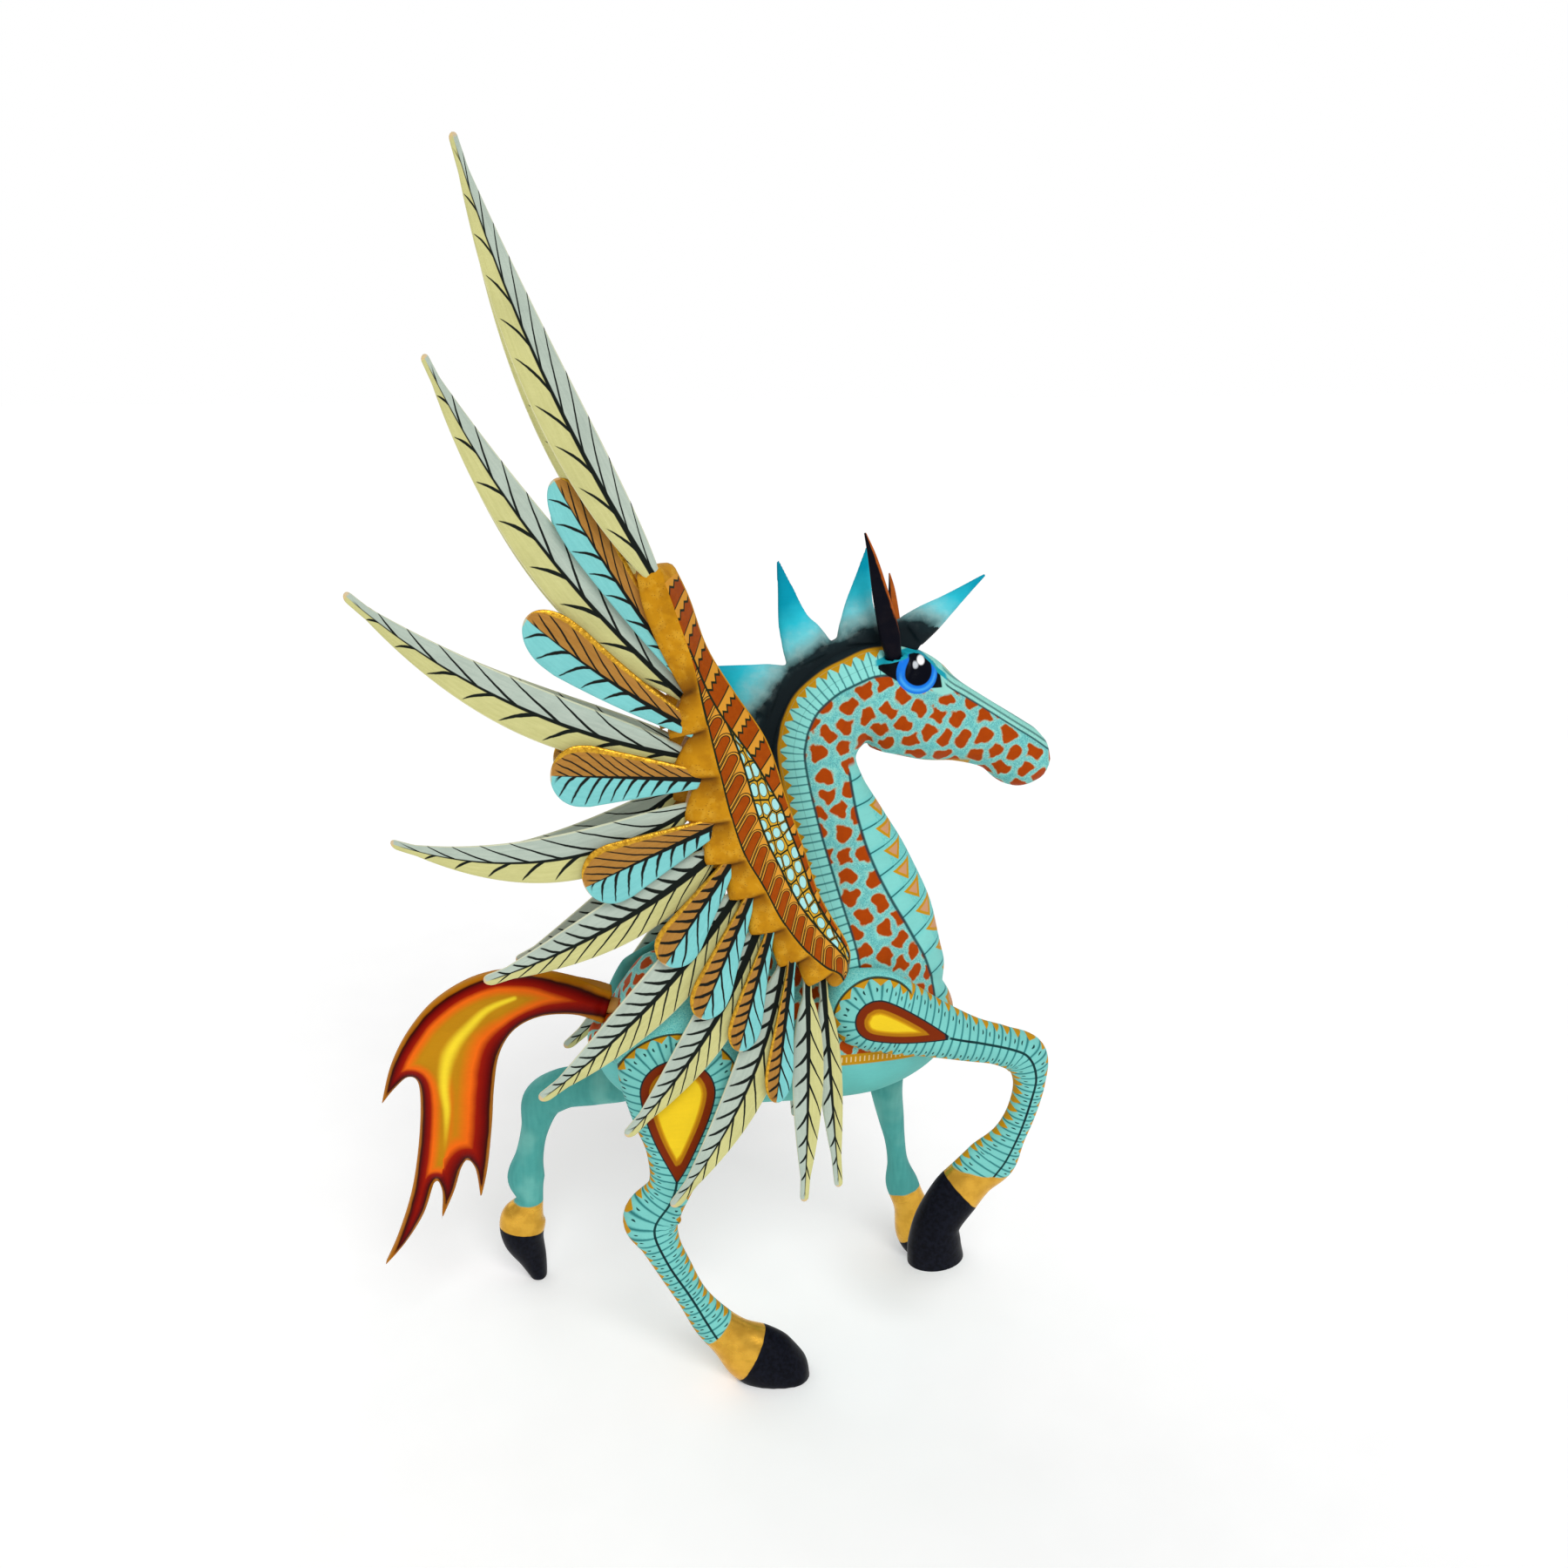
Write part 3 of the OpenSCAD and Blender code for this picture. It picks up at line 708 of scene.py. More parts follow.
def neck_band(p):
    """Ribbed band, gold zigzag and black beside the mane."""
    mane_d, mane_s, high, far = p.read("mane_d mane_s high far")
    reach = p.above(mane_s, 19.0, 0.3) * p.above(high, 146.0, 0.5)
    band = p.above(mane_d, 0.0, 0.12) * p.below(mane_d, 7.2, 0.12) * reach
    # the neck's ribs are a brighter turquoise, partly painted light against the shadow of the wing on the neck
    rib = ribs(p, mane_s, NECK_PITCH, rgb(136, 226, 220))
    p.coat(p.over(rib, RIB_LINE, p.line(mane_d - 3.9, 0.10) * 0.35), band)
    p.coat(rgb(18, 66, 72), p.line(mane_d - 7.4, 0.4, 0.24) * reach * 0.9)
    p.coat(TURQUOISE_PALE, p.above(mane_d, -2.0, 0.2) * p.below(mane_d, 6.5, 0.5)
           * p.line(mane_s - 9.0, 10.0, 0.3))
    p.coat(GOLD, p.below(mane_d, 0.0, 0.12) * p.above(high, 168.0, 1.0))
    zig = p.tri(mane_s / 4.6) * 2.5 - 0.5
    p.coat(GOLD, p.above(mane_d, 0.0, 0.1) * p.below(mane_d - zig, 0.0, 0.15) * p.above(high, 150.0, 1.0))
    p.coat(p.mixed(rgb(20, 30, 34), rgb(32, 44, 48), 260.0, 3.0, 1.0),
           p.below(mane_d, -0.8, 0.3) * p.above(high - far * 0.2, 206.0, 1.5))


def nose_stripes(p):
    """Pale stripes between dark lines, gold along the top."""
    nose_d, far = p.read("nose_d far")
    p.coat(speckled(p, TURQUOISE_PALE, 0.6), p.above(nose_d, 0.0, 0.12) * p.above(far, 50.0, 0.6))
    crown = p.over(rgb(196, 150, 60), TURQUOISE, p.below(p.noise(420.0), 0.46, 0.08))
    p.coat(crown, p.above(nose_d, 3.6, 0.25) * p.above(far, 52.0, 1.0))
    for place, strength in ((0.0, 0.95), (1.5, 0.75), (3.1, 0.6)):
        p.coat(rgb(20, 66, 74), p.line(nose_d - place, 0.26, 0.25) * p.above(far, 52.0, 0.6) * strength)


def belly(p):
    """Plain below, with painted shade darker towards the bottom, and a hatched gold border above it."""
    high, far = p.read("high far")
    slant = high + far * 0.03
    p.coat(GOLD, p.below(slant, 122.0, 0.2) * p.below(far, 47.0, 0.5) * p.above(far, -56.0, 2.0))
    hatch = p.line(p.fract(far / 1.6) - 0.5, 0.13, 0.08)
    p.coat(rgb(235, 215, 160), hatch * p.line(slant - 119.8, 1.1) * 0.9)
    # painted shade: the plain turquoise grows darker towards the bottom of the belly
    plain = p.over(TURQUOISE, TURQUOISE_SHADED, p.below(high, 108.0, 14.0) * 0.8)
    p.coat(plain, p.below(slant, 117.5, 0.2) * p.below(far, 56.0, 1.0))


def eye(p):
    """Coats of the eye, with two painted highlights. Returns its distance field."""
    high, far = p.read("high far")
    ex, ez = far - EYE[0], high - EYE[1]
    from_eye = p.radius(ex, ez)
    right, left = p.high(ex, 0.0), p.low(ex, 0.0)
    lid_z = 4.5 - right * right / (right + 2.2) * 1.0 - left * left * 0.016
    under = p.below(ez - lid_z, 0.0, 0.15)
    low_z = p.power(abs(left) / 12.6, 1.5) * 6.2 - 5.6 - right * 0.04
    p.coat(TURQUOISE_PALE, p.line(ex, 8.0, 1.0) * p.above(ez - lid_z, 0.0, 0.2) * p.below(ez, 9.0, 1.0))
    p.coat(rgb(8, 10, 16), under * p.above(ez - low_z, 0.0, 0.15) * p.line(ex + 2.2, 10.6, 0.3))
    p.coat(rgb(24, 118, 226), p.below(from_eye, 7.4, 0.15) * under)
    p.coat(rgb(70, 168, 245), p.line(from_eye - 6.2, 0.4, 0.5) * p.below(ez, -1.0, 2.0))
    p.coat(rgb(6, 8, 18), p.below(from_eye, 4.9, 0.25) * under)
    p.coat(rgb(24, 158, 176), p.line(ez - lid_z - 0.8, 0.9, 0.2) * p.line(ex + 1.5, 12.0, 0.6))
    # two painted highlights on the eye, white and pale grey
    for x, z, size, soft, colour in ((1.3, 2.3, 1.3, 0.3, (252, 252, 252)),
                                     (-0.8, 1.2, 1.0, 0.35, (200, 205, 210))):
        p.coat(rgb(*colour), p.below(p.radius(ex - x, ez - z), size, soft))
    return from_eye


def body_paint():
    p = Paint("body_paint")
    spots(p)
    chest_band(p)
    neck_band(p)
    nose_stripes(p)
    belly(p)
    return p.finish(shine=p.below(eye(p), 6.8, 0.2) * 0.3)


# ---- Legs ----
# Path of the painted middle line, x, z; how far the drop reaches; radius of its head;
# radius of the ring; then the edges of pastern and hoof: a point and the way that leads into it

LEG_PAINT = {
    "leg_fore_right": (
        [[27.5, 136.5], [40, 132.5], [54, 128.6], [62, 127], [73, 124.2], [79.3, 120.8], [82.2, 112.9],
         [81, 104], [77.7, 91.5], [73.5, 81.6], [69.1, 75.1], [60.3, 62.1]],
        26.0, 7.4, 14.4, ((61.8, 76.6), (-0.25, -1.0)), ((58.5, 68.5), (-0.76, -0.65))),
    "leg_hind_right": (
        [[-39.5, 115], [-40.2, 100], [-40.5, 84.3], [-42.9, 75.4], [-48.7, 65.5], [-44.5, 52],
         [-37.5, 39.1], [-28.4, 21.8], [-21.5, 9]],
        32.0, 12.2, 21.0, ((-25.5, 24), (0.74, -0.67)), ((-16, 10), (0.89, -0.45))),
    "leg_fore_left": (None, 0, 0, 0, ((51.5, 32), (0.25, -1.0)), ((57, 14), (0.75, -0.66))),
    "leg_hind_left": (None, 0, 0, 0, ((-94, 35.8), (0.0, -1.0)), ((-96, 23.5), (-0.16, -1.0)))}


def beyond(xz, edge):
    (x, z), (dx, dz) = edge
    return ((xz[:, 0] - x) * dx + (xz[:, 1] - z) * dz) / math.hypot(dx, dz)


def drop_fields(xz, path, drop_len, drop_r, ring_r, stations, angle, sides):
    """Fields of the painted teardrop, the ribs around it and the gold edge."""
    line = spline(path, 5)
    across, length = near_path(xz, line)
    first = line[1] - line[0]
    first /= np.linalg.norm(first)
    off = xz - line[0]
    lead = off @ first
    cross = first[0] * off[:, 1] - first[1] * off[:, 0]
    turn = np.arctan2(np.abs(cross), lead)
    radius = np.hypot(lead, cross)
    behind = length <= 1e-6
    rib = np.where(behind, -(turn - math.pi / 2) * drop_r * 1.05, length)
    t = np.clip(length / drop_len, 0, 1)
    profile = drop_r * (1 - t ** 1.5) * np.where(length < drop_len, 1, 0)
    drop = np.where(behind, radius - drop_r, np.abs(across) - profile)
    # distance in from the outline of the leg, from its own section
    p = spline(stations, LEG_STEPS)
    inset = np.repeat(p[:, 3], sides) * (1 - np.abs(np.cos(angle)))
    # the painted edge runs along the far side of what faces up
    run, rise = np.gradient(p[:, 0]), np.gradient(p[:, 2])
    upward = np.repeat(run / np.hypot(run, rise), sides)
    inset = np.where(np.sin(angle) > 0, -inset, inset) + 0.9 * np.clip(upward * np.cos(angle) * 2, 0, 1)
    inset = np.where(lead < 0.62 * ring_r, ring_r - radius, inset)
    return {"rib": rib, "across": across, "drop": drop, "inset": inset, "past": length - drop_len,
            "ring": radius - ring_r, "lead": lead}


LEG_STEPS = 9


def build_leg(name, paint, sides=40):
    points, angle, rings = loft(LEGS[name], LEG_STEPS, sides)
    side = -1 if name.endswith("right") else 1
    points[:, 1] = side * np.maximum(side * points[:, 1], FLANK)
    points[:, 2] = np.maximum(points[:, 2], 0.0)
    # no further out than the CAD model
    points[:, 1] = np.minimum(points[:, 1], CAD_BOX[1][1] * MM - SHIFT[1] - 0.001)
    xz = points[:, [0, 2]]
    path, drop_len, drop_r, ring_r, pastern, hoof = LEG_PAINT[name]
    attributes = {"pastern": beyond(xz, pastern), "hoof": beyond(xz, hoof)}
    if path is not None:
        attributes.update(drop_fields(xz, path, drop_len, drop_r, ring_r, LEGS[name], angle, sides))
    mesh = make_mesh(name + "_wood", points, tube_faces(rings, sides), attributes)
    slot = "leg_paint" if path is not None else "plain_leg_paint"
    add_piece(name + "_wood", mesh, paint, "figure", slot, name)


def foot_finish(p):
    """Metallic pastern and black hoof over the leg."""
    pastern, hoof = p.read("pastern hoof")
    wobble = (p.noise(260.0, 1.0) - 0.5) * 1.2
    gold = p.above(pastern + wobble, 0.0, 0.35)
    black = p.above(hoof + wobble * 0.5, 0.0, 0.18)
    p.coat(p.patches(METAL_GOLD, rgb(176, 126, 36), 260.0, 4.0, 0.52, 0.15, 0.4), gold)
    p.coat(p.patches(HOOF, rgb(26, 29, 42), 700.0, 4.0, 0.5, 0.2, 0.5), black)
    metal = gold * (1.0 - black)
    return p.finish(metal=metal * 0.7, shine=metal * 0.24 + black * 0.08)


def leg_paint():
    p = Paint("leg_paint")
    rib, across, drop, inset, past, ring, lead = p.read("rib across drop inset past ring lead")
    p.colour = ribs(p, rib, LEG_PITCH, rgb(102, 192, 188))
    # small dark dots between the ribs, a little inside the gold edge
    from_rib, from_row = LEG_PITCH / 2 - abs(p.gap(rib, LEG_PITCH)), inset - 3.4
    dot = p.below(p.math("SQRT", from_rib * from_rib + from_row * from_row * 0.45), 0.46, 0.12)
    p.coat(rgb(15, 60, 60), dot * p.above(p.fract(rib / (2 * LEG_PITCH)), 0.5, 0.02))
    p.coat(GOLD, p.below(inset - p.tri(rib / 3.6) * 2.3, 0.0, 0.12))
    around = p.below(lead, 8.5, 0.5)
    p.coat(speckled(p, TURQUOISE, 0.8), p.above(ring, 0.0, 0.1) * around)
    p.coat(OUTLINE, p.line(ring, 0.34) * around * 0.9)
    p.coat(rgb(20, 60, 60), p.line(across, 0.42) * p.above(past, -0.5, 0.5))
    # teardrop, from its dark edge inwards: brown, old gold, yellow
    for colour, edge, soft in (((20, 40, 45), 0.35, 0.12), ((122, 42, 8), -0.15, 0.15),
                               ((176, 116, 12), -2.7, 0.2), ((206, 150, 14), -3.9, 0.35),
                               ((238, 202, 36), -4.5, 0.35)):
        p.coat(rgb(*colour), p.below(drop, edge, soft))
    return foot_finish(p)


def plain_leg_paint():
    p = Paint("plain_leg_paint")
    # painted shade: the far legs are a darker turquoise than the near ones, with darker streaks
    streak = p.noise(1.0, 3.0, p.stretched((700.0, 700.0, 90.0)))
    p.colour = p.over(rgb(88, 174, 168), rgb(68, 150, 146), streak)
    p.coat(TURQUOISE_PALE, p.above(p.noise(60.0, 2.0), 0.58, 0.1) * 0.3)
    return foot_finish(p)


# ---- Mane ----

BAND_OUTER = [[-13, 219], [-12, 229], [-7, 240], [2, 251], [13, 258], [27, 264], [40, 266], [48, 264]]
BAND_INNER = [[44, 256], [34, 255], [22, 251], [12, 244], [4, 236], [-1, 227], [-4, 218]]
LOCKS = [
    [[-3, 242], [-15, 246.5], [-34, 252], 10.5],
    [[9, 254], [3, 266.5], [-2, 286], 8.5],
    [[25, 259], [24.5, 271], [27, 290], 8],
    [[42, 262], [53, 270], [66, 280], 6]]
MANE_T = 4.0


def lock_path(base, bend, tip, half):
    """Stations of a pointed lock that bends once."""
    t = MANE_T / 2
    middle, high = (np.add(base, bend) / 2, np.add(bend, tip) / 2)
    return [[x, 0, z, deep, wide] for (x, z), deep, wide in (
        (base, half, t + 1.2), (middle, half * 0.85, t + 1), (bend, half * 0.6, t),
        (high, half * 0.32, t - 0.7), (tip, 0.5, 0.5))]


def build_mane():
    outer = spline(BAND_OUTER, 5)
    band = make_mesh("band", *slab(np.concatenate([outer, spline(BAND_INNER, 5)]), MANE_T / 2))
    locks = [loft_mesh(lock_path(*lock), 8, 28) for lock in LOCKS]
    mesh = modified(combine(band, locks, "UNION"), [voxels(0.55), SMOOTH])
    points = figure_mm(mesh)
    dist, _ = near_path(points[:, [0, 2]], outer)
    # domed band, thick in its middle and thinner at the outer edge
    points[:, 1] *= np.where(dist < 0, 0.84 + 0.24 * np.sqrt(np.clip(-dist / 5.0, 0, 1)), 1.0)
    store_mm(mesh, points)
    add_attributes(mesh, {"lock": dist})
    add_piece("mane_wood", mesh, mane_paint(), "figure", "mane_paint", "mane_crest")


def mane_paint():
    p = Paint("mane_paint", rough=0.46)
    lock = p.read("lock") + (p.noise(170.0, 3.0) - 0.5) * 5.0
    streak = p.noise(1.0, 3.0, p.stretched((330.0, 900.0, 330.0)))
    p.colour = p.ramp((lock + 3.0) / 36.0, [
        (0.0, rgb(20, 30, 34)), (0.075, rgb(24, 40, 44)), (0.17, rgb(124, 174, 176)),
        (0.27, rgb(108, 204, 214)), (0.42, rgb(40, 188, 208)), (0.62, rgb(0, 152, 178)),
        (1.0, rgb(0, 132, 160))])
    p.coat(rgb(190, 212, 208), p.above(streak, 0.55, 0.1) * p.line(lock - 5.0, 5.0, 3.0) * 0.15)
    return p.finish()


# ---- Ears ----
# Height, bend, half depth and half width, all in lengths of an ear

EAR = [[0, 0, 0.05, 0.06], [0.2, 0, 0.075, 0.065], [0.5, 0.01, 0.062, 0.05],
       [0.8, 0.02, 0.034, 0.03], [1, 0.04, 0.008, 0.008]]
EAR_LEN = 44.0
EAR_PEG = [(-7, 1.1), (-6.6, 1.5), (-3.6, 1.5), (-3.4, 1.55), (0.4, 1.6)]
PEG_SIDES, BARE_RINGS = 24, 3


def build_ear(side, paint, sides=36):
    left = side == "left"
    rows = spline(EAR, 10)
    length = EAR_LEN * (0.88 if left else 1.0)
    points, front, height = [], [], []
    for h, bend, deep, wide in rows:
        for k in range(sides):
            q = 2 * math.pi * k / sides
            x, y = math.cos(q), math.sin(q)
            hollow = 1.0 if y > 0 else 1.0 - 0.75 * (1 - x * x) * min(1.0, h * 4) * (1 - h) ** 0.3
            sink = 1.0 - h * 10.0 if h < 0.1 else 0.0
            points.append([(-bend + deep * x) * EAR_LEN, wide * y * hollow * EAR_LEN, h * length - sink])
            front.append(x + (1.0 if left else 0.0))
            height.append(h)
    points = np.array(points) * [1, -1 if left else 1, 1]
    place = on_head(side)
    points, faces = joined((moved(points, place), tube_faces(len(rows), sides)),
                           turned(EAR_PEG, PEG_SIDES, place))
    bare = np.concatenate([np.zeros(len(front)), np.ones(BARE_RINGS * PEG_SIDES)])
    mesh = make_mesh("ear", points, faces, padded(len(points), {
        "front": (front, -1.0), "height": (height, 0.0), "bare": (bare, 0.0)}))
    add_piece("ear_" + side + "_wood", mesh, paint, "ear_" + side, "ear_paint", "ear_" + side)


def ear_paint():
    p = Paint("ear_paint")
    front, height, bare = p.read("front height bare")
    p.colour = p.patches(rgb(7, 7, 18), rgb(20, 16, 22), 300.0, 3.0, 0.58, 0.12, 0.5)
    lean = front + height * 0.75 + (p.noise(420.0, 2.0) - 0.5) * 0.3
    p.coat(p.mixed(rgb(190, 98, 30), rgb(150, 70, 18), 380.0, 3.0, 1.0),
           p.above(lean, 1.08, 0.12) * p.above(height, 0.3, 0.15))
    p.coat(BARE, bare)
    return p.finish()


# ---- Tail ----

ROOT = np.array([-61.0, 135.0])
ROOT_WAY = np.array([math.sin(math.radians(18)), math.cos(math.radians(18))]) * 6.0
ROOT_UP, ROOT_LOW = list(ROOT + ROOT_WAY), list(ROOT - ROOT_WAY)
TAIL = [
    [ROOT_UP, [-72, 146], [-88, 150], [-104, 148.5], [-118, 141], [-128, 130], [-135, 117], [-139, 103]],
    [[-139, 103], [-134, 109], [-129, 113], [-126, 109], [-127, 92], [-131, 70], [-137, 52], [-143, 39]],
    [[-143, 39], [-135, 48], [-128, 59], [-124, 70], [-122.5, 73]],
    [[-122.5, 73], [-121, 67], [-122, 56]],
    [[-122, 56], [-117, 67], [-114, 76], [-111.5, 80]],
    [[-111.5, 80], [-109, 75], [-108, 63]],
    [[-108, 63], [-105, 75], [-102.5, 92], [-101, 106], [-98.5, 119], [-93, 128], [-84, 132.5],
     [-73, 132.5], ROOT_LOW]]
STREAK = [[-92, 141.5], [-101, 138], [-108, 131.5], [-113, 125.5], [-116, 119], [-117.3, 110], [-117, 101],
          [-118, 91], [-119, 84]]
TAIL_T = 9.0
TAIL_DOME = 7.5      # how far in from its edge the tail is domed
TAIL_PEG = [(-14, 2.4), (-13.4, 3.0), (2, 3.0)]


def build_tail():
    outline = np.concatenate([spline(part, 6)[:-1] for part in TAIL] + [[ROOT_LOW]])
    mesh = modified(make_mesh("tail", *slab(outline, TAIL_T / 2)), [voxels(0.6)])
    points = figure_mm(mesh)
    ring = np.concatenate([outline, outline[:1]])
    edge = np.abs(near_path(points[:, [0, 2]], ring)[0])
    dome = np.sqrt(np.clip(1 - (1 - np.clip(edge / TAIL_DOME, 0, 1)) ** 2, 0, 1))
    # the root stays thick, so that it meets the rump
    dome = np.maximum(dome, 0.75 * np.clip((points[:, 0] + 72) / 9, 0, 1))
    points[:, 1] *= 0.2 + 0.8 * dome
    store_mm(mesh, points)
    mesh = modified(mesh, [SMOOTH])
    points = figure_mm(mesh)
    xz = points[:, [0, 2]]
    # the painted bands run on into the root, and narrow towards it
    edge = np.abs(near_path(xz, outline)[0]) * np.clip(0.45 + (-64 - xz[:, 0]) / 60, 0.45, 1)
    streak, along = near_path(xz, spline(STREAK, 4))
    inner = np.clip((streak + 1.5) / 3.0, 0, 1) * np.clip(along / 20.0, 0, 1)
    peg = turned(TAIL_PEG, 32, on_rump())
    all_points, faces = joined((points, [tuple(f.vertices) for f in mesh.polygons]), peg)
    drawn = np.concatenate([np.zeros(len(points)), peg[0][:, 0] > ROOT[0] + 3.0])
    whole = make_mesh("tail", all_points, faces, padded(len(all_points), {
        "edge": (edge, 0.0), "streak": (np.abs(streak), 50.0), "inner": (inner, 0.0), "along": (along, 0.0),
        "peg": (drawn, 0.0)}))
    add_piece("tail_wood", whole, tail_paint(), "tail", "tail_paint", "tail")


def tail_paint():
    p = Paint("tail_paint", rough=0.42)
    streak, inner, edge, along, peg = p.read("streak inner edge along peg")
    edge = p.low(edge, 1.4) + p.high(edge - 1.4, 0.0) * (1.55 - 0.7 * inner) + (p.noise(120.0, 2.0) - 0.5) * 0.8
    p.colour = p.ramp(edge / 12.0, [
        (0.0, rgb(180, 116, 10)), (0.06, rgb(168, 96, 4)), (0.10, rgb(50, 4, 0)), (0.22, rgb(112, 2, 0)),
        (0.40, rgb(150, 20, 0)), (0.58, rgb(238, 104, 14)), (0.68, rgb(226, 110, 14)),
        (0.90, rgb(190, 128, 12)), (1.0, rgb(190, 132, 14))])
    width = 0.55 + p.low(along, 62.0 - along) * 0.035
    glow = p.below(streak / width, 1.15, 1.1) * p.below(along, 60.0, 10.0)
    p.coat(rgb(244, 214, 46), glow * p.above(edge, 5.0, 2.0))
    p.coat(BARE, peg)
    return p.finish()


# ---- Wings ----
# Arm lines: leading edge x, z; ridge x, z; rear edge x, z; ridge and rear edge depths

ARM = [
    [-35, 131, -40, 131, -47, 129, 13.5, 12], [-31, 122, -36, 119, -45, 117, 14, 11.5],
    [-26, 107, -31, 103, -41, 98, 13, 9], [-18, 93, -28, 89, -39, 83, 12, 7.5],
    [-8, 77, -24, 71, -38, 69, 12, 7.5], [-2, 58, -20, 54, -33.5, 51, 12, 7.5],
    [1, 49, -16, 42, -27.5, 38, 12, 7.5], [4, 40, -11, 33, -21.5, 28, 12, 7.5],
    [8, 27, -5, 21, -15, 16, 12, 7.5], [13, 17, 2, 11, -6.5, 5, 11.5, 7.5],
    [17, 10, 9, 4, 2, -2.5, 10.5, 7], [18.5, 5, 14, 0.5, 9, -5.5, 8.5, 6],
    [18, 0, 16, -3, 13, -6, 5, 4]]
EDGE_W, STEM_L, STEM_HALF = 3.5, 6.0, 1.4
# How far out the feathers lie: long, short, the first long one and the last
LONG_W, SHORT_W, TOP_W, LAST_W = 3.6, 7.2, 10.8, 0.3
# Feather lines: foot x, z; tip x, z; half width; bulge
LONG = [
    [-40, 126, -93, 250.5, 6.9, 0.04], [-34, 92, -105, 193, 7.6, 0.055],
    [-31, 73, -132, 126, 7.8, 0.075], [-30, 58, -124, 50, 7.8, 0.125],
    [-24, 43, -98.6, 3.5, 7.8, 0.055], [-18, 29, -83.2, -38, 7.9, 0.05],
    [-12, 16, -56, -53, 7.2, 0.055], [-4, 3, -41.6, -79.8, 7.1, 0.07],
    [4, -6, 2.6, -81.6, 5.2, 0.01], [10, -8, 15, -79, 4, 0]]
SHORT = [
    [-31, 96, -70, 158, 6.8, 0.02], [-30, 82, -80, 118, 8.3, 0.03],
    [-29, 67, -75, 70, 9.6, 0], [-25, 52, -66, 34, 9.4, 0],
    [-21, 39, -42, 7, 7.2, 0], [-15, 27, -31, -12, 6.2, 0],
    [-9, 14, -19, -24, 5.2, 0], [-2, 2, -7, -43, 4.5, 0]]
# How many degrees each feather of the left wing hangs lower
LONG_HANG = [0, 0, 1.5, 9, 9, 6, 5, 3, 6, 3]
SHORT_HANG = [0, 1, 3, 7, 6, 4, 2, 0]
# Distance between barbs and how far each one leans towards the tip, for every feather
LONG_BARB = [(13.0, 16.0), (15.0, 13.5), (13.5, 12.0), (11.0, 11.0), (5.6, 9.0), (5.0, 8.5), (5.4, 9.0),
             (6.5, 9.0), (7.5, 8.0), (8.5, 8.0)]
SHORT_BARB = [(8.2, 9.0), (7.5, 8.0), (3.9, 6.0), (4.6, 6.5), (4.2, 5.5), (4.0, 5.0), (3.8, 4.6), (3.8, 4.4)]


# Radius of each long feather's rounded tip
LONG_TIP = [1.2, 1.2, 1.5, 1.5, 1.9, 1.9, 1.9, 1.9, 1.4, 1.4]


def long_half(w, t):
    return max(STEM_HALF * (1 - t), w * math.sin(math.pi * t ** 0.72) ** 0.85 if t < 1 else 0.0)


def short_half(w, t):
    return w * min(1, 0.3 + 0.95 * t) if t < 0.8 else w * math.sqrt(max(1 - ((t - 0.8) / 0.2) ** 2, 0))


def feather_rows(f, long, i, length):
    """Distance from the foot, share of the blade and half width: first the stem inside the arm."""
    blunt = LONG_TIP[i]
    rows = [(-STEM_L, 0.0, STEM_HALF), (-STEM_L * 0.5, 0.0, STEM_HALF)]
    for t in 1 - (1 - np.linspace(0, 1, 56)) ** 1.6:
        half = max((long_half if long else short_half)(f[4], t), STEM_HALF * (1 - t) + 0.03)
        tip = (1 - t) * length
        if long and tip < 14.0:
            half = max(half, blunt + 0.03 * tip)
        if long and tip < 1.3 * blunt:
            round_off = math.sqrt(max(0.0, 1 - (1 - tip / (1.3 * blunt)) ** 2))
            half = min(half, (blunt + 0.05) * round_off + 0.03)
        rows.append((t * length, t, half))
    return rows


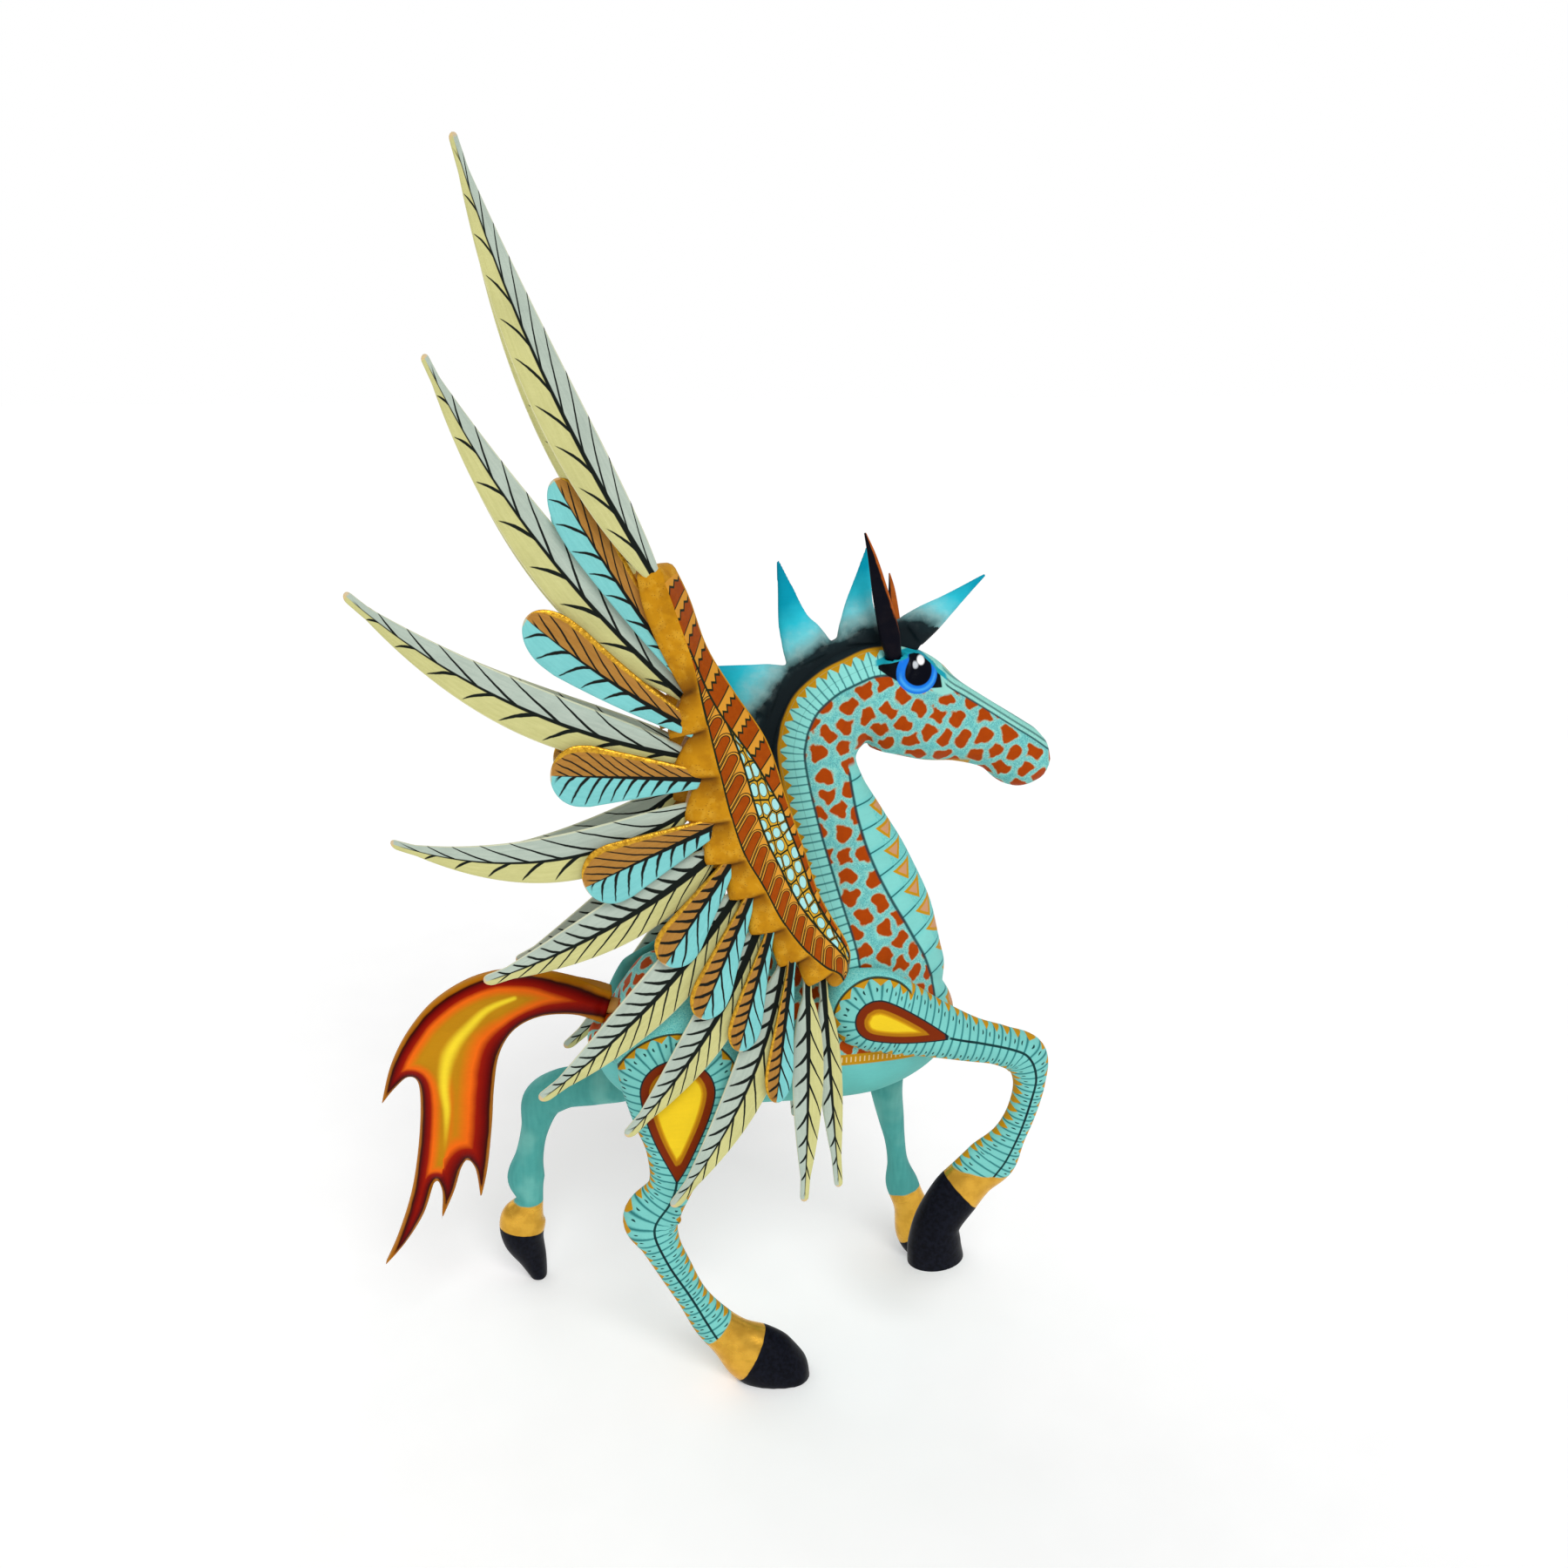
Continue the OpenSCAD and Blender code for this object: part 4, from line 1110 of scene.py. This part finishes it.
def build_feather(side, kind, i, paint, rng):
    long = kind == "long"
    f = (LONG if long else SHORT)[i]
    hang = math.radians((LONG_HANG if long else SHORT_HANG)[i]) if side == "left" else 0.0
    depth = (TOP_W if i == 0 else LAST_W if i == 9 else LONG_W) if long else SHORT_W
    foot = np.array(f[:2], float)
    run = np.array(f[2:4], float) - foot
    run = np.array([run[0] * math.cos(hang) - run[1] * math.sin(hang),
                    run[0] * math.sin(hang) + run[1] * math.cos(hang)])
    length = np.linalg.norm(run)
    way = run / length
    side_way = np.array([-way[1], way[0]])
    rows = feather_rows(f, long, i, length)
    across = np.concatenate([[-1.0, -0.985, -0.94], np.linspace(-0.86, 0.86, 13), [0.94, 0.985, 1.0]])
    sway = rng.uniform(-1, 1, 3)
    pitch, lean = (LONG_BARB if long else SHORT_BARB)[i]
    phase = rng.uniform(0, 1)
    points, data = [], []
    for s, t, half in rows:
        middle = foot + way * s
        if s >= 0:
            middle = middle + side_way * (f[5] * length * 4 * t * (1 - t))
        bend = 0.35 * math.sin(math.pi * t) * sway[0] + 0.25 * math.sin(2.6 * math.pi * t + sway[1])
        for face in (1, -1):
            for c in across[::face]:
                crown = math.sqrt(max(0.0, 1 - c ** 8))
                w = face * FEATHER_T / 2 * (1.0 - 0.45 * t) * (0.35 + 0.65 * crown)
                if face > 0:
                    # the upper face is dished, with a groove along the shaft
                    w += (0.16 * (1 - abs(c)) - 0.10) * (t > 0.02) - 0.22 * math.exp(-(c * half / 0.55) ** 2)
                xz = middle + side_way * c * half
                points.append([xz[0], -(depth + FEATHER_T / 2 + min(w, FEATHER_T / 2) + bend * 0.6), xz[1]])
                data.append((s, c, half, t))
    s, rim, half, t = np.array(data).T
    same = np.ones(len(data))
    mesh = make_mesh("feather", moved(points, on_flank(side)), tube_faces(len(rows), 2 * len(across)), {
        "s": s, "c": rim + (0.12 * (1 - t) if long and i < 2 else 0.0), "rim": rim, "half": half, "t": t,
        "barb_s": s + 0.5 * np.sin(s * 0.21 + sway[2] * 3), "lean": lean * np.minimum(1.0, half / f[4] + 0.15),
        "pitch": pitch * same, "phase": phase * same, "low": (0.0 if i < 4 else 1.0) * same,
        "tint": rng.uniform(-1, 1) * same})
    node = f"{kind}_feather_{side}_{i + 1}"
    add_piece(node + "_wood", mesh, paint, "wing_" + side, kind + "_feather_paint", node)


def feather_ink(p, long):
    """Mask of the shaft and its barbs."""
    c, half, pitch, lean, low, t, barb_s, phase = p.read("c half pitch lean low t barb_s phase")
    width = abs(c)
    # one half carries short hooked barbs, the other long thin ones that lie close to the shaft
    swept = abs(p.below(c, 0.0, 0.001) - low)
    hooked = 1.0 - swept
    hook = p.power(width + 0.0001, 0.6) * 0.9
    drift = lean * (hook * hooked + p.power(width + 0.0001, 0.9) * swept * (1.6 if long else 2.3))
    wobble = (p.noise(330.0, 2.0) - 0.5) * 0.9
    # below, the thin ones stand further apart than the hooked ones
    step = pitch * (1.0 + swept * low * (0.35 if long else 0.8))
    row = (barb_s + wobble - drift) / step + phase + 0.5 * p.above(c, 0.0, 0.001)
    gap = (p.fract(row) - 0.5) * step
    limit = 0.86 if long else 0.92
    thick = (pitch * 0.085 + 0.36) * (1.0 - width / limit) * (1.15 - t * 0.6) + 0.16 + low * 0.18
    fine = step * (0.065 if long else 0.08) * (1.3 - width) + 0.16
    reach = limit * hooked + 0.985 * swept
    barb = p.below(abs(gap) - (thick * hooked + fine * swept), 0.0, 0.2) * p.below(width - reach, 0.0, 0.05)
    barb = barb * p.above(t, 0.03, 0.02) * p.below(t, 0.96, 0.02)
    heavy = p.below(pitch, 6.2, 0.4) * (0.45 if long else 0.0)
    shaft = (0.85 + heavy) * (1.06 - t)
    return p.high(barb, p.below(width * half - shaft, 0.0, 0.14) * p.below(t, 0.97, 0.015))


def feather_paint(kind, rough, halves, ink, wear):
    """Two painted halves with barbs, over wood grain. Halves: two shades behind, two in front."""
    p = Paint(kind + "_feather_paint", rough=rough)
    s, c, rim, half, t, tint = p.read("s c rim half t tint")
    long = kind == "long"
    grain = p.noise(1.0, 4.0, p.spread(s * 0.12, c * 9.0, tint * 9.0), 0.65)
    behind, front = (p.over(rgb(*light), rgb(*dark), grain) for light, dark in halves)
    p.colour = p.over(behind, front, p.above(c, 0.0, 0.02 if long else 0.03))
    if long:
        p.coat(rgb(236, 232, 190), p.above(abs(rim), 0.955, 0.02) * 0.55)
    p.coat(rgb(*ink), feather_ink(p, long))
    groove = p.line(c * half, 0.5, 0.3) * 0.5
    worn = p.above(t + (p.noise(700.0, 2.0) - 0.5) * 0.02, 0.990, 0.003 if long else 0.004) * wear
    if long:
        p.coat(BARE, worn)
        return p.finish(height=grain * 0.8 + groove)
    edge = p.below(rim + (p.noise(500.0, 2.0) - 0.5) * 0.12, -0.79, 0.03)
    p.coat(p.patches(rgb(226, 172, 52), rgb(150, 100, 20), 900.0, 3.0, 0.52, 0.15, 0.6), edge)
    p.coat(BARE, worn)
    return p.finish(height=grain * 0.6 + edge * p.noise(1200.0, 2.0) * 2.0 + groove, metal=edge * 0.75,
                    shine=edge * 0.15)


def bar_pitch(u):
    """Distance between the painted bars, closer together towards the lower end."""
    return np.interp(u, [30.0, 65.0, 110.0, 150.0], [7.6, 7.2, 5.2, 4.8])


def bar_count(u):
    steps = np.linspace(-5.0, 200.0, 800)
    total = np.concatenate([[0], np.cumsum(np.diff(steps) / bar_pitch(steps[:-1]))])
    return np.interp(u, steps, total)


NOTCH, BAY = 0.42, 0.58      # what is left of the rear facet's width in a notch, and what a scallop adds


def scallops(rows, along):
    """For each row: how full its scallop is, the reach of the rear facet and how much painted shade lies under
    its ledge.
    """
    feet = [along[int(np.argmin(np.linalg.norm(rows[:, 2:4] - np.array(f[:2], float), axis=1)))] for f in SHORT]
    notch = np.sort(np.array(feet))
    step = np.diff(notch).mean()
    cuts = np.concatenate([[notch[0] - 1.6 * step], notch, [notch[-1] + step * 0.75, notch[-1] + step * 1.5]])
    out = []
    for u in along:
        k = int(np.clip(np.searchsorted(cuts, u) - 1, 0, len(cuts) - 2))
        sigma = np.clip((u - cuts[k]) / (cuts[k + 1] - cuts[k]), 0, 1)
        # each scallop widens slowly and ends in a ledge
        lobe = min(1.0, 1.2 * sigma ** 0.75, 8.0 * (1 - sigma))
        reach = NOTCH + BAY * lobe if u < cuts[-1] else 1.0
        fold_shade = 1.0 - lobe
        if u < notch[0]:
            # the plain upper end narrows evenly down to the first notch
            share = np.clip((u - 6.0) / (notch[0] - 6.0), 0, 1)
            lobe, reach, fold_shade = 1.0 - share, 1.0 - BAY * share ** 1.5, max(0.0, share * 3.0 - 2.0)
        out.append((lobe, reach, fold_shade))
    return out


def arm_section(row, lobe, reach, front=16, rear=14, wall=5):
    """Points around the arm: x and z, depth, and where it lies, 1 at the ridge and 2 at the rear edge."""
    lead, top, back, ridge_w, rear_w = row[0:2], row[2:4], row[4:6], row[6], row[7]
    section = [(lead, EDGE_W * q * 0.8, 0.0) for q in np.linspace(0, 1, 4)]
    for q in np.linspace(0, 1, front):
        w = EDGE_W + (ridge_w - EDGE_W) * q + 0.25 * math.sin(math.pi * q)
        section.append((lead + (top - lead) * q, w - 0.25 * (q == 1), q))
    for q in np.linspace(1 / rear, 1, rear):
        w = ridge_w + (rear_w - ridge_w) * q * reach
        w += 0.45 * math.sin(math.pi * min(1.0, q * 0.9)) * lobe - 0.55 * (1 - lobe) * q - 0.35 * (q > 0.9)
        section.append((top + (back - top) * q * reach, max(w, 0.4), 1 + q))
    edge_xz, edge_w, _ = section[-1]
    for q in np.linspace(1 / wall, 1, wall):
        section.append((edge_xz + (top - back) * 0.01 * q, edge_w * (1 - q), 2 + q))
    return section + [(edge_xz + (lead - edge_xz) * q, 0.0, 3.0 + q) for q in np.linspace(0.2, 0.8, 4)]


BOSS = [(-0.02, 5.9), (0.35, 6.35), (0.9, BOSS_R), (BOSS_OUT, BOSS_R), (BOSS_OUT + 4, BOSS_R)]


def build_arm(side, paint):
    rows = spline(ARM, 12)
    last = len(rows) - 1
    along = np.concatenate([[0], np.cumsum(np.linalg.norm(np.diff(rows[:, 2:4], axis=0), axis=1))])
    shape = scallops(rows, along)
    # closing rows at both ends, drawn in towards the middle of the section: row, push, size
    order = [(0, -2.4, 0.35), (0, -2.0, 0.7), (0, -1.1, 0.92), *((i, 0.0, 1.0) for i in range(len(rows))),
             (last, 0.5, 0.85), (last, 0.9, 0.55), (last, 1.05, 0.25)]
    points, data = [], []
    for i, push, size in order:
        lead, top, back = rows[i, 0:2], rows[i, 2:4], rows[i, 4:6]
        section = arm_section(rows[i], *shape[i][:2])
        centre_xz, centre_w = (lead + top + back) / 3, rows[i, 6] * 0.45
        way = rows[min(i + 1, last), 2:4] - rows[max(i - 1, 0), 2:4]
        way = way / np.linalg.norm(way)
        for xz, w, v in section:
            spot = centre_xz + (xz - centre_xz) * size + way * push
            points.append([spot[0], -(centre_w + (w - centre_w) * size), spot[1]])
            data.append((along[i] + push, v, np.linalg.norm(top - lead), shape[i][2]))
    u, v, facet, fold_shade = np.array(data).T
    line = tenon_line()
    boss = turned(BOSS, 40, line)
    tenon = [[x, y, z] for z in (-9.5, -9.0, 0.2) for x, y in tenon_outline(0.6 if z < -9.2 else 0.0)]
    all_points, faces = joined((points, tube_faces(len(order), len(section))), boss,
                               (moved(tenon, line), tube_faces(3, len(tenon) // 3)))
    is_tenon = np.concatenate([np.zeros(len(all_points) - len(tenon)), np.ones(len(tenon))])
    mesh = make_mesh("arm", moved(all_points, on_flank(side)), faces, padded(len(all_points), {
        "u": (u, 0.0), "v": (v, 3.5), "facet": (facet, 10.0), "bar": (bar_count(u), 0.0),
        "bar_pitch": (bar_pitch(u), 6.0), "fold_shade": (fold_shade, 0.0), "peg": (is_tenon, 0.0)}))
    node = "wing_arm_" + side
    add_piece(node + "_wood", mesh, paint, "wing_" + side, "wing_gold_paint", node)


def tenon_outline(inset):
    x, y, r = 4.5 - inset, 3.5 - inset, 0.5
    return [(x - r, -y), (x, -y + r), (x, y - r), (x - r, y),
            (-x + r, y), (-x, y - r), (-x, -y + r), (-x + r, -y)]


def old_gold(p, u, v):
    """Rear facet and walls: old gold with short brown specks, painted shade under the ledges of the scallops,
    and darker gold on the walls and the back.
    """
    fold_shade = p.read("fold_shade")
    gold = p.mixed(WING_GOLD, rgb(176, 114, 8), 260.0, 4.0, 0.7)
    gold = p.patches(gold, rgb(228, 176, 58), 300.0, 5.0, 0.56, 0.10, 0.4)
    specks = p.voronoi(p.spread(u * 0.9, v * 7.0), 1.0, "F1")
    return p.layered(
        gold,
        (rgb(150, 92, 4), p.below(p.noise(190.0, 5.0), 0.43, 0.10) * 0.4),
        (rgb(112, 62, 10), p.below(specks, 0.12, 0.05) * p.above(p.noise(300.0, 1.0), 0.50, 0.04) * 0.6),
        # painted shade under each ledge, and a darker painted shadow line right below it
        (rgb(118, 68, 4), p.above(fold_shade, 0.55, 0.40) * p.above(v, 1.1, 0.2) * 0.8),
        (rgb(70, 36, 2), p.above(fold_shade, 0.90, 0.1) * p.above(v, 1.3, 0.3) * p.above(u, 30.0, 4.0) * 0.7),
        (rgb(150, 92, 12), p.above(v, 2.05, 0.3) * 0.65))


def stepped_strip(p, u, wide, brown):
    """Leading strip: rust blocks with stepped edges."""
    zig = p.tri(wide / 2.1) * 0.17
    unit = p.fract((u - wide * 0.55) / 8.2)
    return p.layered(APRICOT, (brown, p.above(unit - zig, 0.32, 0.02)),
                     (OUTLINE, p.line(unit - zig - 0.32, 0.055, 0.02)), (OUTLINE, p.below(unit, 0.055, 0.02)))


def fingers(p, v, facet, row_top, brown):
    """Rust bars in double outlines, rounded at the far end and cut off by the ridge."""
    bar, pitch = p.read("bar bar_pitch")
    height = p.high(1.0 - row_top, 0.05) * facet
    from_ridge = (1.0 - v) * facet
    x = (p.fract(bar + from_ridge * 0.9 / pitch) - 0.5) * pitch * 0.743
    half = pitch * 0.3715
    end = (height - 0.9) / 0.743 - half * 0.9
    y = p.high(from_ridge * 1.345 - x * 0.9 - end, 0.0)
    box = p.radius(x, y) / half
    return p.layered(APRICOT, (OUTLINE, p.below(box, 0.99, 0.02)), (APRICOT, p.below(box, 0.86, 0.03)),
                     (OUTLINE, p.below(box, 0.69, 0.03)), (brown, p.below(box, 0.56, 0.03)))


def net(p, u, wide):
    """Gold mesh with pale turquoise ovals."""
    grid = p.spread(u / 5.2, wide / 3.0)
    gap, core = p.voronoi(grid, 0.42, "DISTANCE_TO_EDGE"), p.voronoi(grid, 0.42, "F1")
    return p.layered(OUTLINE, (rgb(206, 158, 40), p.above(gap, 0.06, 0.02)),
                     (OUTLINE, p.below(core, 0.42, 0.02) * p.above(gap, 0.09, 0.02)),
                     (rgb(166, 224, 222), p.below(core, 0.37, 0.02) * p.above(gap, 0.12, 0.02)))


def arm_paint():
    p = Paint("wing_gold_paint", rough=0.46)
    u, v, facet, peg = p.read("u v facet peg")
    wide = v * facet
    brown = p.mixed(rgb(172, 78, 8), rgb(140, 56, 0), 500.0, 3.0, 1.0)
    strip_w = p.low(1.0, p.high(0.13, 1.30 - u * 0.0145))
    row_top = p.low(1.0, p.high(0.30, 0.56 - p.high(u - 105.0, 0.0) * 0.006))
    face = p.over(net(p, u, wide), fingers(p, v, facet, row_top, brown), p.above(v, row_top, 0.004))
    face = p.over(face, OUTLINE, p.line((v - row_top) * facet, 0.33))
    face = p.over(face, stepped_strip(p, u, wide, brown), p.below(v, strip_w, 0.004))
    face = p.over(face, OUTLINE, p.line((v - strip_w) * facet, 0.33) * p.above(u, 24.0, 1.0))
    p.colour = old_gold(p, u, v)
    p.coat(face, p.below(v, 1.0, 0.01) * p.above(wide, 0.35, 0.1) * p.above(u - wide * 0.3, 1.6, 0.2))
    p.coat(OUTLINE, p.line((v - 1.0) * facet, 0.36) * p.above(u, 34.0, 2.0))
    p.coat(BARE, peg)
    return p.finish(relief=0.00018)


# ---- CAD nodes that stay, floor and finish ----

def dowel_paint():
    p = Paint("bare_wood", rough=0.65)
    rings = p.noise(1.0, 4.0, p.stretched((1500.0, 120.0, 1500.0)), 0.6)
    p.colour = p.over(BARE, rgb(176, 134, 86), rings)
    return p.finish(height=rings)


def floor_paint():
    p = Paint("studio_floor", specular=0.1)
    tint = p.mixed(rgb(246, 246, 246), rgb(240, 240, 240), 40.0, 3.0, 1.0)
    for name, value in (("Base Color", tint), ("Roughness", 0.9), ("Emission Color", (1.0, 1.0, 1.0, 1.0)),
                        ("Emission Strength", 0.18)):
        p.feed(p.shader.inputs[name], value)
    return p.material


def build_floor(size=6.0):
    mesh = bpy.data.meshes.new("floor")
    corners = [(-size, -size, 0), (size, -size, 0), (size, size, 0), (-size, size, 0)]
    mesh.from_pydata(corners, [], [(0, 1, 2, 3)])
    mesh.materials.append(floor_paint())
    floor = new_object("floor", mesh)


add_studio()
build_body()
near_leg, far_leg = leg_paint(), plain_leg_paint()
for leg_name in LEGS:
    build_leg(leg_name, far_leg if LEG_PAINT[leg_name][0] is None else near_leg)
build_mane()
ear_material = ear_paint()
for ear_side in SIDES:
    build_ear(ear_side, ear_material)
build_tail()
arm_material = arm_paint()
long_material = feather_paint("long", 0.55, (((194, 206, 192), (158, 174, 162)),
                                             ((216, 213, 150), (186, 184, 118))), (22, 28, 24), 0.7)
short_material = feather_paint("short", 0.5, (((190, 138, 66), (148, 100, 42)),
                                              ((138, 214, 212), (108, 188, 188))), (24, 26, 22), 0.6)
rng = np.random.default_rng(7)
for wing_side in SIDES:
    build_arm(wing_side, arm_material)
    for feather_kind, count, material in (("long", 10, long_material), ("short", 8, short_material)):
        for index in range(count):
            build_feather(wing_side, feather_kind, index, material, rng)
bare_wood = dowel_paint()
for node_name in ("leg_dowels", "neck_dowel"):
    wood = frame["nodes"][node_name]
    wood.data.materials.clear()
    wood.data.materials.append(bare_wood)
build_floor()
